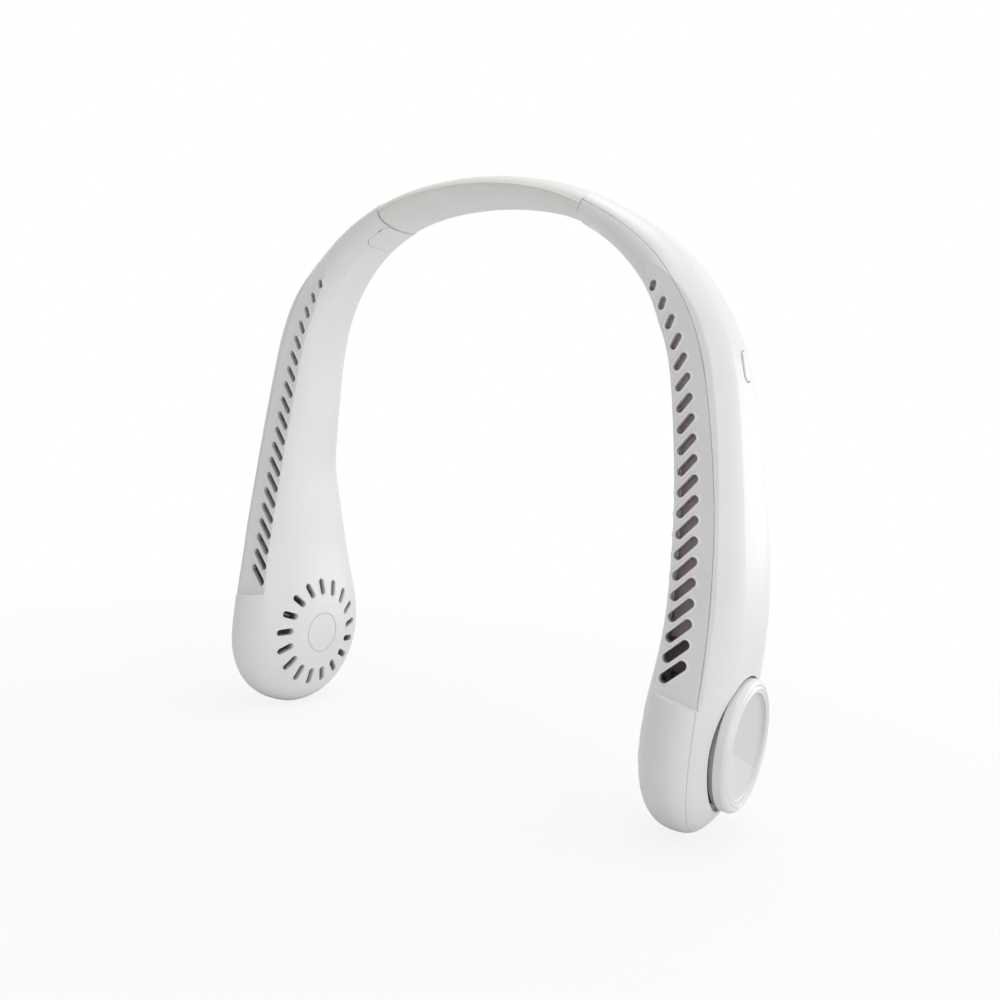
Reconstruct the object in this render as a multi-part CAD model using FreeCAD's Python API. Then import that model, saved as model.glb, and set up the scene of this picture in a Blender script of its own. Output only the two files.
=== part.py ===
import FreeCAD, Part
import math
import os

os.makedirs("parts", exist_ok=True)
V = FreeCAD.Vector

# All sizes are in mm. X is across the neck, Y runs from the slotted front edge to the back, Z is up.
# The U is drawn once as a line from its crown down the right arm: three arcs, then straight.
crown_height = 77.7
crown_radius = 112.0
crown_angle = 11.5
shoulder_radius = 65.0
shoulder_end_angle = 78.8
arm_radius = 387.0
arm_end_angle = 90.6

# Stations along that line, measured from the crown.
s_joint = 37.6
s_pod = 200.4
stations = [0.0, s_joint, 70.0, 100.0, 135.0, 165.0, s_pod]

# Outline of the arm at each station: front and back edge, depth towards the neck, depth outwards,
# parting line, and how far the section leans outwards towards its back edge.
front_y = [-11.5, -11.5, -10.9, -9.6, -9.0, -9.8, -13.0]
back_y = [11.0, 11.5, 16.5, 23.0, 29.5, 38.5, 44.0]
inner_depth = [2.2, 2.6, 4.2, 5.4, 6.2, 8.0, 12.2]
outer_depth = [6.5, 6.8, 9.6, 11.2, 11.8, 13.4, 14.0]
parting_depth = [3.4, 3.4, 5.6, 6.6, 7.8, 8.4, 9.0]
outward_lean = [0.0, 0.03, 0.09, 0.10, 0.10, 0.05, 0.0]
pod_radius = (back_y[-1] - front_y[-1]) / 2
pod_y = (back_y[-1] + front_y[-1]) / 2
back_roundness = 2.4
front_roundness = 3.2
neck_side_roundness = [3.2, 3.2, 3.2, 3.2, 3.2, 2.7, 2.0]
end_roundness = 2.4
wall = 1.8
joint_gap = 0.3
parting_gap = 0.2
fit_gap = 0.15
moving_gap = 0.3

# Outlet strip: a shallow facet along the front edge with slanted slots that grow towards the pod.
strip_top = (-11.3, 70.0)
strip_middle = (-6.0, 0.0)
strip_bottom = (-8.9, -62.0)
strip_lean = 10.0
slot_count = 20
slot_first = 70.8
slot_last = 178.6
slot_length_small = 3.3
slot_length_large = 9.5
slot_width_small = 2.2
slot_width_large = 3.1
slot_tilt = 44.0
slot_reach = 2.6

# Round intake of the pod, on the neck side.
intake_count = 17
intake_inner_radius = 13.8
intake_outer_radius = 20.3
intake_width = 2.6
intake_swirl = 10.0
intake_line_radius = 7.3
intake_line_width = 0.4
intake_line_depth = 1.0

# Raised disc on the outer side of the pod, with an intake gap around and under it.
disc_radius = 19.4
disc_under = 11.6
disc_top = 17.2
disc_wall = 1.8
disc_face_radius = 16.6
disc_post_radius = 14.0
disc_post_size = 1.3
disc_post_count = 6
well_radius = disc_radius + 0.7
collar_width = 1.4
spider_floor = 7.6
spider_top = 9.6
spider_hub_radius = 8.5
spider_rim_radius = 18.4
spoke_width = 2.6
fold_offset = 9.5
fold_turn = -52.0
fold_slope = 6.0

# Blower: shaft, bush, stator, rotor and wheel, stacked on the pod axis from the inner wall outwards.
motor_floor = wall - inner_depth[-1]
shaft_radius = 1.0
bush_clearance = 0.03
bush_radius = 1.6
boss_radius = 2.4
boss_end = motor_floor + 8.7
bush_start = motor_floor + 1.2
shaft_start = bush_start + 0.5
board_radius = 10.5
board_floor = motor_floor + 1.3
board_thickness = 1.0
board_screw_radius = 8.8
small_screw_radius = 0.75
small_head_radius = 1.3
small_head_height = 0.7
small_screw_depth = 1.9
stator_start = board_floor + 2.0
stator_end = boss_end - 0.4
stator_radius = 7.3
stator_teeth = 6
tooth_width = 1.7
magnet_inner_radius = 7.8
magnet_outer_radius = 9.0
yoke_radius = 9.8
yoke_top = boss_end + 1.2
yoke_plate = 0.8
magnet_start = stator_start + 0.6
hub_radius = 11.2
wheel_radius = 20.5
wheel_web_top = yoke_top + 1.2
wheel_start = magnet_start + 0.8
wheel_end = spider_floor - 1.2
blade_count = 24
blade_root_radius = 13.4
blade_thickness = 0.75
blade_sweep = 12.0
ring_width = 1.3
ring_height = 0.8
scroll_radius = 22.3
scroll_wall = 1.2
divider_y = 4.2
divider_top = 50.0

# Neck section: sprung strip and link cable inside a soft sleeve, fixed to the arms by screws.
sleeve_inset = 0.25
strip_width = 12.0
strip_thickness = 0.8
strip_centre_y = -1.5
core_n = (outer_depth[1] - inner_depth[1]) / 2
tang_end = 52.0
tang_gap = 0.25
end_block = 9.0
cable_radius = 1.2
cable_y = 8.4
cable_gap = 0.3
cover_length = 7.0
cover_front = -6.5
cover_back = 7.0
cover_floor = 1.7 - inner_depth[1]
cover_corner = 2.0
joint_screw_s = s_joint + cover_length / 2
joint_screw_y = (-5.0, 2.0)
joint_screw_radius = 1.0
joint_head_radius = 1.8
joint_head_height = 1.2
screw_hole_gap = 0.1

# Cells, board, switch, button and charging socket.
cell_s = 147.0
cell_length = 48.0
cell_width = 15.5
cell_thickness = 8.0
cell_y = 14.4
cell_n = 4.8
plug_length = 6.0
plug_width = 4.4
plug_gap = 0.6
board_s = 98.0
main_board_length = 24.0
main_board_width = 9.6
main_board_y = 10.8
main_board_n = 4.2
main_board_thickness = 1.0
board_post_radius = 1.8
board_post_spread = 10.4
board_post_shift = 1.3
button_s = 95.6
button_y = 9.8
button_length = 8.8
button_width = 4.6
button_rise = 0.3
button_flange = 1.0
button_flange_height = 0.8
button_travel = 0.5
switch_size = 3.6
plunger_height = 0.8
plunger_radius = 0.9
port_drop = 3.0
port_width = 8.9
port_height = 3.2
port_wall = 0.35
port_depth = 7.4
port_gap = 0.2
tongue_width = 6.4
tongue_height = 0.7
tongue_length = 5.0


def spine(s):
    """Point and turning angle of the U line at distance s from the crown; negative s is the left side."""
    side = -1.0 if s < 0 else 1.0
    s = abs(s)
    a1 = math.radians(crown_angle)
    a2 = math.radians(shoulder_end_angle)
    x1 = (crown_radius - shoulder_radius) * math.sin(a1)
    z1 = crown_height - crown_radius + (crown_radius - shoulder_radius) * math.cos(a1)
    x2 = x1 + (shoulder_radius - arm_radius) * math.sin(a2)
    z2 = z1 + (shoulder_radius - arm_radius) * math.cos(a2)
    if s < arc_ends()[0]:
        centre, r, a = (0.0, crown_height - crown_radius), crown_radius, s / crown_radius
    elif s < arc_ends()[1]:
        centre, r, a = (x1, z1), shoulder_radius, a1 + (s - arc_ends()[0]) / shoulder_radius
    else:
        centre, r, a = (x2, z2), arm_radius, a2 + (min(s, arc_ends()[2]) - arc_ends()[1]) / arm_radius
    tail = max(0.0, s - arc_ends()[2])
    x = centre[0] + r * math.sin(a) + tail * math.cos(a)
    return side * x, centre[1] + r * math.cos(a) - tail * math.sin(a), side * a


def arc_ends():
    """Distances from the crown where the crown arc, the shoulder arc and the arm arc end."""
    first = crown_radius * math.radians(crown_angle)
    second = first + shoulder_radius * math.radians(shoulder_end_angle - crown_angle)
    return first, second, second + arm_radius * math.radians(arm_end_angle - shoulder_end_angle)


def at(s, n, y):
    """Point at station s, n outwards from the U line, at depth y."""
    x, z, a = spine(s)
    return V(x + n * math.sin(a), y, z + n * math.cos(a))


def local(s, y=0.0):
    """Placement at a station: local X to the back, local Y up the arm, local Z outwards."""
    a = spine(s)[2]
    out = V(math.sin(a), 0, math.cos(a))
    up = V(-math.cos(a), 0, math.sin(a))
    return FreeCAD.Placement(at(s, 0, y), FreeCAD.Rotation(V(0, 1, 0), up, out, "ZXY"))


def put(shape, place):
    """Copy of a shape moved to a placement."""
    moved = shape.copy()
    moved.Placement = place.multiply(moved.Placement)
    return moved


def along(values, s):
    """Smooth curve through one value per station, without overshoot."""
    k = 0
    while k < len(stations) - 2 and s > stations[k + 1]:
        k += 1

    def slope(j):
        if j == 0 or j == len(stations) - 1:
            return 0.0
        a = (values[j] - values[j - 1]) / (stations[j] - stations[j - 1])
        b = (values[j + 1] - values[j]) / (stations[j + 1] - stations[j])
        return 0.0 if a * b <= 0 else 2 * a * b / (a + b)

    h = stations[k + 1] - stations[k]
    t = min(1.0, max(0.0, (s - stations[k]) / h))
    ends = (1 + 2 * t) * (1 - t) ** 2 * values[k] + t * t * (3 - 2 * t) * values[k + 1]
    return ends + h * (t * (1 - t) ** 2 * slope(k) + t * t * (t - 1) * slope(k + 1))


def outline(s, inset):
    """Size of the arm's section: middle and half width along Y, middle and half depth, front edge, lean."""
    s = abs(s)
    d = max(0.0, s - s_pod) / (pod_radius - inset)
    i = along(inner_depth, s) - inset
    o = along(outer_depth, s) - inset
    b = along(back_y, s) - inset
    f = along(front_y, s) + inset
    half_y = (b - f) / 2 * math.sqrt(1 - d * d)
    half_n = (o + i) / 2 * (1 - d ** end_roundness) ** (1 / end_roundness)
    return (b + f) / 2, half_y, (o - i) / 2, half_n, f, along(outward_lean, s)


def section(s, inset):
    """Rounded closed section of the arm at a station, drawn inwards by the inset."""
    mid_y, half_y, mid_n, half_n, f, lean = outline(s, inset)
    points = []
    count = 16
    for k in range(count):
        t = math.pi / 2 + 2 * math.pi * k / count
        power = 2 / back_roundness
        if math.sin(t) < 0:
            power = 2 / (front_roundness if math.cos(t) > 0 else along(neck_side_roundness, abs(s)))
        y = mid_y + half_y * math.copysign(abs(math.sin(t)) ** power, math.sin(t))
        n = mid_n + half_n * math.copysign(abs(math.cos(t)) ** power, math.cos(t))
        points.append(at(s, n + lean * (y - f), y))
    curve = Part.BSplineCurve()
    curve.interpolate(Points=points, PeriodicFlag=True)
    return Part.Wire([curve.toShape()])


def skin(s, y, inset=0.0):
    """How far the arm's outer face stands outwards of the U line at a station and depth."""
    mid_y, half_y, mid_n, half_n, f, lean = outline(s, inset)
    power = back_roundness if y > mid_y else front_roundness
    share = 1 - (abs(y - mid_y) / half_y) ** power
    return mid_n + half_n * share ** (1 / power) + lean * (y - f)


def tube(s0, inset):
    """Arm and pod as one solid, from station s0 to the closed end of the pod."""
    cuts = [s0 + (s_pod - s0) * k / 11 for k in range(12)]
    r = pod_radius - inset
    cuts += [s_pod + r * math.sin(math.radians(a)) for a in (24, 45, 60, 71, 79, 83)]
    return Part.makeLoft([section(s, inset) for s in cuts], True, False)


def parting_wire(y, gap):
    """Closed outline at depth y of everything on the neck side of the parting line, moved out by a gap."""
    points = []
    for k in range(16):
        s = s_joint - 4 + (s_pod + 41 - s_joint) * k / 15
        mid_y, half_y, mid_n, half_n, f, lean = outline(min(s, s_pod), 0.0)
        near = along(parting_depth, s)
        share = (y - f) / (2 * half_y)
        points.append(at(s, near - (near - mid_n) * share + lean * (y - f) + gap, y))
    curve = Part.BSplineCurve()
    curve.interpolate(Points=points)
    far = V(-60, y, -60)
    edges = [curve.toShape(), Part.makeLine(points[-1], far), Part.makeLine(far, points[0])]
    return Part.Wire(edges)


def strip_prism(extra):
    """Block in front of the outlet strip's facet, moved back by extra."""
    top = V(20, strip_top[0] + extra, strip_top[1] + 20)
    middle = V(20, strip_middle[0] + extra, strip_middle[1])
    bottom = V(20, strip_bottom[0] + extra, strip_bottom[1] - extra)
    start = V(20, strip_top[0] + extra, strip_top[1])
    arc = Part.Arc(start, middle, bottom).toShape()
    rise = Part.makeLine(V(20, -60, strip_top[1] + 20), V(20, -60, strip_bottom[1] - extra))
    edges = [Part.makeLine(top, start), arc, Part.makeLine(bottom, rise.Vertexes[1].Point), rise]
    edges.append(Part.makeLine(rise.Vertexes[0].Point, top))
    face = Part.Face(Part.Wire(Part.__sortEdges__(edges)))
    lean = math.radians(strip_lean)
    origin_shift = V(0, 0, (at(slot_last, 0, 0).x - 20) * math.tan(lean))
    face.translate(origin_shift)
    return face.extrude(V(110, 0, -110 * math.tan(lean)))


def pill(length, width, height, floor=0.0):
    """Upright solid with a rounded-end outline, long side along local Y."""
    h = max(0.0, length - width) / 2
    r = width / 2
    left = Part.makeLine(V(-r, h, floor), V(-r, -h, floor))
    low = Part.Arc(V(-r, -h, floor), V(0, -h - r, floor), V(r, -h, floor)).toShape()
    right = Part.makeLine(V(r, -h, floor), V(r, h, floor))
    high = Part.Arc(V(r, h, floor), V(0, h + r, floor), V(-r, h, floor)).toShape()
    return Part.Face(Part.Wire([left, low, right, high])).extrude(V(0, 0, height))


def box(width, length, height, floor=0.0):
    """Block centred on local X and Y, standing on a floor height."""
    return Part.makeBox(width, length, height, V(-width / 2, -length / 2, floor))


def soft_box(width, length, height, floor, radius):
    """Block with rounded upright edges."""
    solid = box(width, length, height, floor)
    upright = [e for e in solid.Edges if abs(e.tangentAt(e.FirstParameter).z) > 0.9]
    return solid.makeFillet(radius, upright)


def cyl(radius, floor, top, x=0.0, y=0.0):
    """Round bar between two heights."""
    return Part.makeCylinder(radius, top - floor, V(x, y, floor))


def tube_ring(outer, inner, floor, top):
    """Round ring between two heights."""
    return cyl(outer, floor, top).cut(cyl(inner, floor - 1, top + 1))


def ring_points(radius, count, turn=0.0):
    """Evenly spaced points on a circle about local Z."""
    angles = [math.radians(turn + 360.0 * k / count) for k in range(count)]
    return [(radius * math.cos(a), radius * math.sin(a)) for a in angles]


def arc_edges(s0, s1, n, y):
    """Arcs that follow the U line at a fixed offset, from one station to another."""
    first, second, third = arc_ends()
    stops = [s0] + [s for s in (-third, -second, -first, first, second, third) if s0 < s < s1] + [s1]
    edges = []
    for a, b in zip(stops, stops[1:]):
        e = 1e-6
        ends = (at(a + e, n, y), at((a + b) / 2, n, y), at(b - e, n, y))
        edges.append((ends[0], ends[1], ends[2]))
    for k in range(len(edges) - 1):
        edges[k + 1] = (edges[k][2], edges[k + 1][1], edges[k + 1][2])
    return [Part.Arc(*e).toShape() for e in edges]


def band(s0, s1, thickness, width, y):
    """Flat strip that follows the U line."""
    outer = arc_edges(s0, s1, core_n + thickness / 2, y - width / 2)
    inner = arc_edges(s0, s1, core_n - thickness / 2, y - width / 2)
    caps = [Part.makeLine(outer[0].Vertexes[0].Point, inner[0].Vertexes[0].Point)]
    caps.append(Part.makeLine(outer[-1].Vertexes[-1].Point, inner[-1].Vertexes[-1].Point))
    wire = Part.Wire(Part.__sortEdges__(outer + inner + caps))
    return Part.Face(wire).extrude(V(0, width, 0))


def cord(s0, s1, radius):
    """Round cable that follows the U line beside the sprung strip."""
    path = Part.Wire(arc_edges(s0, s1, core_n, cable_y))
    start = at(s0, core_n, cable_y)
    circle = Part.Circle(start, path.Edges[0].tangentAt(path.Edges[0].FirstParameter), radius)
    return path.makePipeShell([Part.Wire([circle.toShape()])], True, False)


def outlet_slots():
    """Cutters for the graded slots of the outlet strip."""
    cutters = []
    for k in range(slot_count):
        u = k / (slot_count - 1)
        s = slot_first + (slot_last - slot_first) * u
        length = slot_length_large - (slot_length_large - slot_length_small) * (1 - u) ** 2
        width = slot_width_small + (slot_width_large - slot_width_small) * u
        cutter = pill(length, width, 2 * slot_reach, -slot_reach)
        a = spine(s)[2]
        out = V(math.sin(a), 0, math.cos(a))
        up = V(-math.cos(a), 0, math.sin(a))
        t = math.radians(slot_tilt)
        run = out * math.cos(t) + up * math.sin(t)
        origin = at(s, 0, strip_y(at(s, 0, 0).z))
        cutters.append(put(cutter, FreeCAD.Placement(
            origin, FreeCAD.Rotation(V(0, 1, 0).cross(run) * -1, run, V(0, 1, 0), "ZYX"))))
    return Part.makeCompound(cutters)


def strip_y(z):
    """Depth of the outlet strip's facet at a height."""
    circle = Part.Arc(*[V(0, p[0], p[1]) for p in (strip_top, strip_middle, strip_bottom)]).toShape()
    c = circle.Curve.Center
    side = 1.0 if strip_middle[0] > c.y else -1.0
    return c.y + side * math.sqrt(circle.Curve.Radius ** 2 - (z - c.z) ** 2)


def intake_slots():
    """Cutters for the ring of slanted intake slots on the neck side of the pod."""
    middle = (intake_inner_radius + intake_outer_radius) / 2
    one = pill(intake_outer_radius - intake_inner_radius, intake_width, 14.0, -20.0)
    cutters = []
    for k in range(intake_count):
        slot = one.copy()
        slot.rotate(V(0, 0, 0), V(0, 0, 1), intake_swirl)
        slot.translate(V(0, middle, 0))
        slot.rotate(V(0, 0, 0), V(0, 0, 1), 360.0 * k / intake_count)
        cutters.append(slot)
    return Part.makeCompound(cutters)


def turned(points):
    """Solid of revolution about local Z from (radius, height) corners."""
    corners = [V(p[0], 0, p[1]) for p in points]
    face = Part.Face(Part.makePolygon(corners + corners[:1]))
    return face.revolve(V(0, 0, 0), V(0, 0, 1), 360)


def wheel():
    """Double-sided blower wheel: hub cup, web, curved blades and two end rings."""
    web_floor = yoke_top
    hub = turned([(shaft_radius, wheel_web_top), (wheel_radius, wheel_web_top), (wheel_radius, web_floor),
                  (hub_radius, web_floor), (hub_radius, magnet_start), (yoke_radius, magnet_start),
                  (yoke_radius, web_floor), (shaft_radius, web_floor)])
    rings = [tube_ring(wheel_radius, wheel_radius - ring_width, wheel_start, wheel_start + ring_height)]
    rings.append(tube_ring(wheel_radius, wheel_radius - ring_width, wheel_end - ring_height, wheel_end))

    def polar(r, degrees, shift):
        a = math.radians(degrees) + shift / r
        return V(r * math.cos(a), r * math.sin(a), wheel_start)

    tip = wheel_radius - 0.2
    mid = (blade_root_radius + tip) / 2
    corners = []
    for shift in (0.0, blade_thickness):
        corners.append([polar(blade_root_radius, 0, shift), polar(mid, blade_sweep * 0.22, shift),
                        polar(tip, blade_sweep, shift)])
    edges = [Part.Arc(*corners[0]).toShape(), Part.makeLine(corners[0][2], corners[1][2])]
    edges += [Part.Arc(*corners[1]).toShape(), Part.makeLine(corners[1][0], corners[0][0])]
    blade = Part.Face(Part.Wire(Part.__sortEdges__(edges))).extrude(V(0, 0, wheel_end - wheel_start))
    blades = []
    for k in range(blade_count):
        one = blade.copy()
        one.rotate(V(0, 0, 0), V(0, 0, 1), 360.0 * k / blade_count)
        blades.append(one)
    return hub.multiFuse(rings + blades).removeSplitter()


def stator_core():
    """Iron core of the motor: a sleeve with T-shaped teeth."""
    core = cyl(boss_radius + 1.2, stator_start, stator_end)
    height = stator_end - stator_start
    shoe = tube_ring(stator_radius, stator_radius - 0.9, stator_start, stator_end)
    gap_cutters = []
    legs = []
    for k in range(stator_teeth):
        leg = Part.makeBox(stator_radius - 0.5, tooth_width, height, V(0, -tooth_width / 2, stator_start))
        leg.rotate(V(0, 0, 0), V(0, 0, 1), 360.0 * k / stator_teeth)
        legs.append(leg)
        gap = Part.makeBox(stator_radius + 1, 1.4, height, V(0, -0.7, stator_start))
        gap.rotate(V(0, 0, 0), V(0, 0, 1), 360.0 * (k + 0.5) / stator_teeth)
        gap_cutters.append(gap)
    core = core.multiFuse(legs + [shoe.cut(Part.makeCompound(gap_cutters))])
    return core.cut(cyl(boss_radius, stator_start - 1, stator_end + 1)).removeSplitter()


def stator_coils():
    """One winding around each tooth of the core."""
    coils = []
    inside = boss_radius + 1.25
    wide = tooth_width + 1.3
    outside = math.sqrt((stator_radius - 0.95) ** 2 - (wide / 2) ** 2)
    for k in range(stator_teeth):
        size = (outside - inside, wide, stator_end - stator_start + 0.6)
        coil = Part.makeBox(*size, V(inside, -size[1] / 2, stator_start - 0.3))
        hole = Part.makeBox(9, tooth_width, stator_end - stator_start, V(0, -tooth_width / 2, stator_start))
        coil = coil.cut(hole)
        coil.rotate(V(0, 0, 0), V(0, 0, 1), 360.0 * k / stator_teeth)
        coils.append(coil)
    return Part.makeCompound(coils)


def small_screws(points, under_head):
    """Group of equal small screws standing at the given points, heads up."""
    screws = []
    for x, y in points:
        head = cyl(small_head_radius, under_head, under_head + small_head_height, x, y)
        head = head.cut(Part.makeBox(2.6, 0.4, 0.4, V(x - 1.3, y - 0.2, under_head + small_head_height - 0.3)))
        shank = cyl(small_screw_radius, under_head - board_thickness - small_screw_depth, under_head, x, y)
        screws.append(head.fuse(shank).removeSplitter())
    return Part.makeCompound(screws)


def disc_cap():
    """Raised outer disc: hollow cap with a rounded rim, a stepped face with a folded corner, and posts."""
    r = disc_radius
    outline = [
        Part.makeLine(V(r - disc_wall, 0, disc_under), V(r - 0.5, 0, disc_under)),
        Part.Arc(V(r - 0.5, 0, disc_under), V(r - 0.15, 0, disc_under + 0.15), V(r, 0, disc_under + 0.5)).toShape(),
        Part.makeLine(V(r, 0, disc_under + 0.5), V(r, 0, disc_top - 2.0)),
        Part.Arc(V(r, 0, disc_top - 2.0), V(r - 0.6, 0, disc_top - 0.6), V(r - 2.0, 0, disc_top)).toShape(),
        Part.makeLine(V(r - 2.0, 0, disc_top), V(disc_face_radius + 0.4, 0, disc_top)),
        Part.makeLine(V(disc_face_radius + 0.4, 0, disc_top), V(disc_face_radius, 0, disc_top - 0.5)),
        Part.makeLine(V(disc_face_radius, 0, disc_top - 0.5), V(0, 0, disc_top - 0.5)),
        Part.makeLine(V(0, 0, disc_top - 0.5), V(0, 0, disc_top - 0.5 - disc_wall)),
        Part.makeLine(V(0, 0, disc_top - 0.5 - disc_wall), V(r - disc_wall, 0, disc_top - 0.5 - disc_wall)),
        Part.makeLine(V(r - disc_wall, 0, disc_top - 0.5 - disc_wall), V(r - disc_wall, 0, disc_under)),
    ]
    cap = Part.Face(Part.Wire(outline)).revolve(V(0, 0, 0), V(0, 0, 1), 360)
    posts = []
    for x, y in ring_points(disc_post_radius, disc_post_count, 30.0):
        posts.append(cyl(disc_post_size, spider_top, disc_top - 0.5 - disc_wall / 2, x, y))
    cap = cap.multiFuse(posts)
    wedge = Part.makeBox(60, 30, 10, V(-30, 0, 0))
    wedge.rotate(V(0, 0, 0), V(1, 0, 0), -fold_slope)
    wedge.translate(V(0, fold_offset, disc_top - 0.5))
    wedge.rotate(V(0, 0, 0), V(0, 0, 1), 180.0 + fold_turn)
    wedge = wedge.common(cyl(disc_face_radius, 0, 40))
    return cap.cut(wedge).removeSplitter()


def spider():
    """Floor of the outer intake: a rim and a hub joined by spokes, under the raised disc."""
    height = spider_top - spider_floor
    spokes = []
    for k in range(disc_post_count // 2):
        spoke = box(2 * spider_rim_radius + 1.0, spoke_width, height, spider_floor)
        spoke.rotate(V(0, 0, 0), V(0, 0, 1), 30.0 + 60.0 * k)
        spokes.append(spoke)
    hub = cyl(spider_hub_radius, spider_floor, spider_top)
    rim = tube_ring(well_radius + collar_width, spider_rim_radius, spider_floor, spider_top)
    return hub.multiFuse(spokes + [rim]).removeSplitter()


def joint_screws():
    """Two screws that hold the end of the sprung strip in the arm, heads on the neck side."""
    screws = []
    for y in joint_screw_y:
        head = cyl(joint_head_radius, cover_floor, cover_floor + joint_head_height)
        head = head.cut(Part.makeBox(3.6, 0.5, 0.5, V(-1.8, -0.25, cover_floor)))
        shank = cyl(joint_screw_radius, cover_floor + joint_head_height, core_n + strip_thickness / 2)
        screws.append(put(head.fuse(shank).removeSplitter(), local(joint_screw_s, y)))
    return Part.makeCompound(screws)


def joint_prism(gap, floor):
    """Outline of the screw cover at the end of the arm, from the neck side up to a floor."""
    width = cover_back - cover_front - 2 * gap
    length = cover_length + 10.0 - gap
    prism = soft_box(width, length, 20.0, floor - 20.0, cover_corner)
    prism.translate(V((cover_back + cover_front) / 2, 5.0 + gap / 2 - cover_length / 2, 0))
    return put(prism, local(s_joint + cover_length / 2))


# Pod and station frames.
pod = local(s_pod, pod_y)
mirror = (V(0, 0, 0), V(1, 0, 0))

# Housing of one arm: a hollow loft with the strip's facet cut along its front edge.
body = tube(s_joint + joint_gap / 2, 0.0).cut(strip_prism(0.0))
cavity = tube(s_joint + end_block, wall).cut(strip_prism(wall))
bay = tube(s_joint + end_block + fit_gap, wall + fit_gap).cut(strip_prism(wall + fit_gap))
shell = body.cut(cavity)
neck_side = Part.makeLoft([parting_wire(-40.0, 0.0), parting_wire(80.0, 0.0)], True, True)
neck_side_gap = Part.makeLoft([parting_wire(-40.0, parting_gap), parting_wire(80.0, parting_gap)], True, True)
inner_shell = shell.common(neck_side)
outer_cover = shell.cut(neck_side_gap)

# Inner shell: slots, intake ring, motor boss, standoffs and the end block for the sprung strip.
screw_spots = ring_points(board_screw_radius, 3, 90.0)
boss = cyl(boss_radius, motor_floor - wall / 2, boss_end)
standoffs = [cyl(1.5, motor_floor - wall / 2, board_floor, x, y) for x, y in screw_spots]
boss = boss.multiFuse(standoffs)
boss_solid = put(boss, pod).common(body)
holes = [cyl(bush_radius, bush_start, boss_end + 1)]
for spot in screw_spots:
    holes.append(cyl(small_screw_radius, board_floor - small_screw_depth, 0, spot[0], spot[1]))
line = tube_ring(intake_line_radius + intake_line_width / 2, intake_line_radius - intake_line_width / 2,
                 -20.0, intake_line_depth - inner_depth[-1])
ribs = []
for shift in (-cell_length / 3, cell_length / 3):
    rib = box(cell_width - 3.0, wall, 12.0, cell_n - cell_thickness / 2 - 12.0)
    rib.translate(V(0, shift, 0))
    ribs.append(put(rib, local(cell_s, cell_y)).common(body))
inner_shell = inner_shell.multiFuse([boss_solid] + ribs)
inner_shell = inner_shell.cut(Part.makeCompound([put(h, pod) for h in holes + [line]]))
inner_shell = inner_shell.cut(put(intake_slots(), pod))
inner_shell = inner_shell.cut(outlet_slots())
tang_room = band(s_joint - 4, tang_end + 2, strip_thickness + 2 * tang_gap, strip_width + 2 * tang_gap,
                 strip_centre_y)
cable_room = cord(s_joint - 4, s_joint + end_block + 4, cable_radius + cable_gap)
inner_shell = inner_shell.cut(tang_room).cut(cable_room).cut(joint_prism(0.0, cover_floor))
for y in joint_screw_y:
    place = local(joint_screw_s, y)
    head_room = cyl(joint_head_radius + screw_hole_gap, cover_floor - 3, cover_floor + joint_head_height)
    shank_room = cyl(joint_screw_radius + screw_hole_gap, cover_floor, core_n)
    inner_shell = inner_shell.cut(put(head_room, place)).cut(put(shank_room, place))

# Outer cover: round well with a collar and a spoked floor for the raised disc.
well = put(cyl(well_radius, spider_floor, 40), pod)
collar = put(tube_ring(well_radius + collar_width, well_radius, spider_floor, 40), pod).common(body)
floor = put(spider(), pod)
outer_cover = outer_cover.cut(well).cut(cable_room).cut(tang_room)
outer_cover = outer_cover.fuse(collar).fuse(floor).removeSplitter()
inner_shell = inner_shell.cut(collar).cut(floor)

# Blower and divider wall.
scroll_ring = Part.makeCylinder(scroll_radius + scroll_wall, 120, V(20, pod_y, at(s_pod, 0, 0).z), V(1, 0, 0))
scroll_ring = scroll_ring.cut(
    Part.makeCylinder(scroll_radius, 120, V(20, pod_y, at(s_pod, 0, 0).z), V(1, 0, 0)))
mouth = Part.makeBox(120, divider_y + 60, 60, V(20, -60, at(s_pod, 0, 0).z))
blade_wall = Part.makeBox(120, scroll_wall, divider_top + 58.0, V(20, divider_y, -58.0))
blade_wall = blade_wall.cut(
    Part.makeCylinder(scroll_radius, 120, V(20, pod_y, at(s_pod, 0, 0).z), V(1, 0, 0)))
divider = scroll_ring.cut(mouth).fuse(blade_wall).common(bay)
divider = divider.cut(put(cyl(well_radius + collar_width + fit_gap, spider_floor - fit_gap, 40), pod))
divider = divider.removeSplitter()

shaft = cyl(shaft_radius, shaft_start, wheel_web_top)
bush = tube_ring(bush_radius, shaft_radius + bush_clearance, bush_start, boss_end)
magnet = tube_ring(magnet_outer_radius, magnet_inner_radius, magnet_start, yoke_top - yoke_plate)
yoke = turned([(shaft_radius, yoke_top), (yoke_radius, yoke_top), (yoke_radius, magnet_start),
               (magnet_outer_radius, magnet_start), (magnet_outer_radius, yoke_top - yoke_plate),
               (shaft_radius, yoke_top - yoke_plate)])
motor_board = tube_ring(board_radius, boss_radius + fit_gap, board_floor, board_floor + board_thickness)
motor_board = motor_board.cut(Part.makeCompound(
    [cyl(small_screw_radius + screw_hole_gap, -20, 0, x, y) for x, y in screw_spots]))

# Screw cover and cell.
screw_cover = body.common(joint_prism(fit_gap, cover_floor)).common(neck_side)
cell = put(soft_box(cell_width, cell_length, cell_thickness, cell_n - cell_thickness / 2, 2.0),
           local(cell_s, cell_y))

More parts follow.
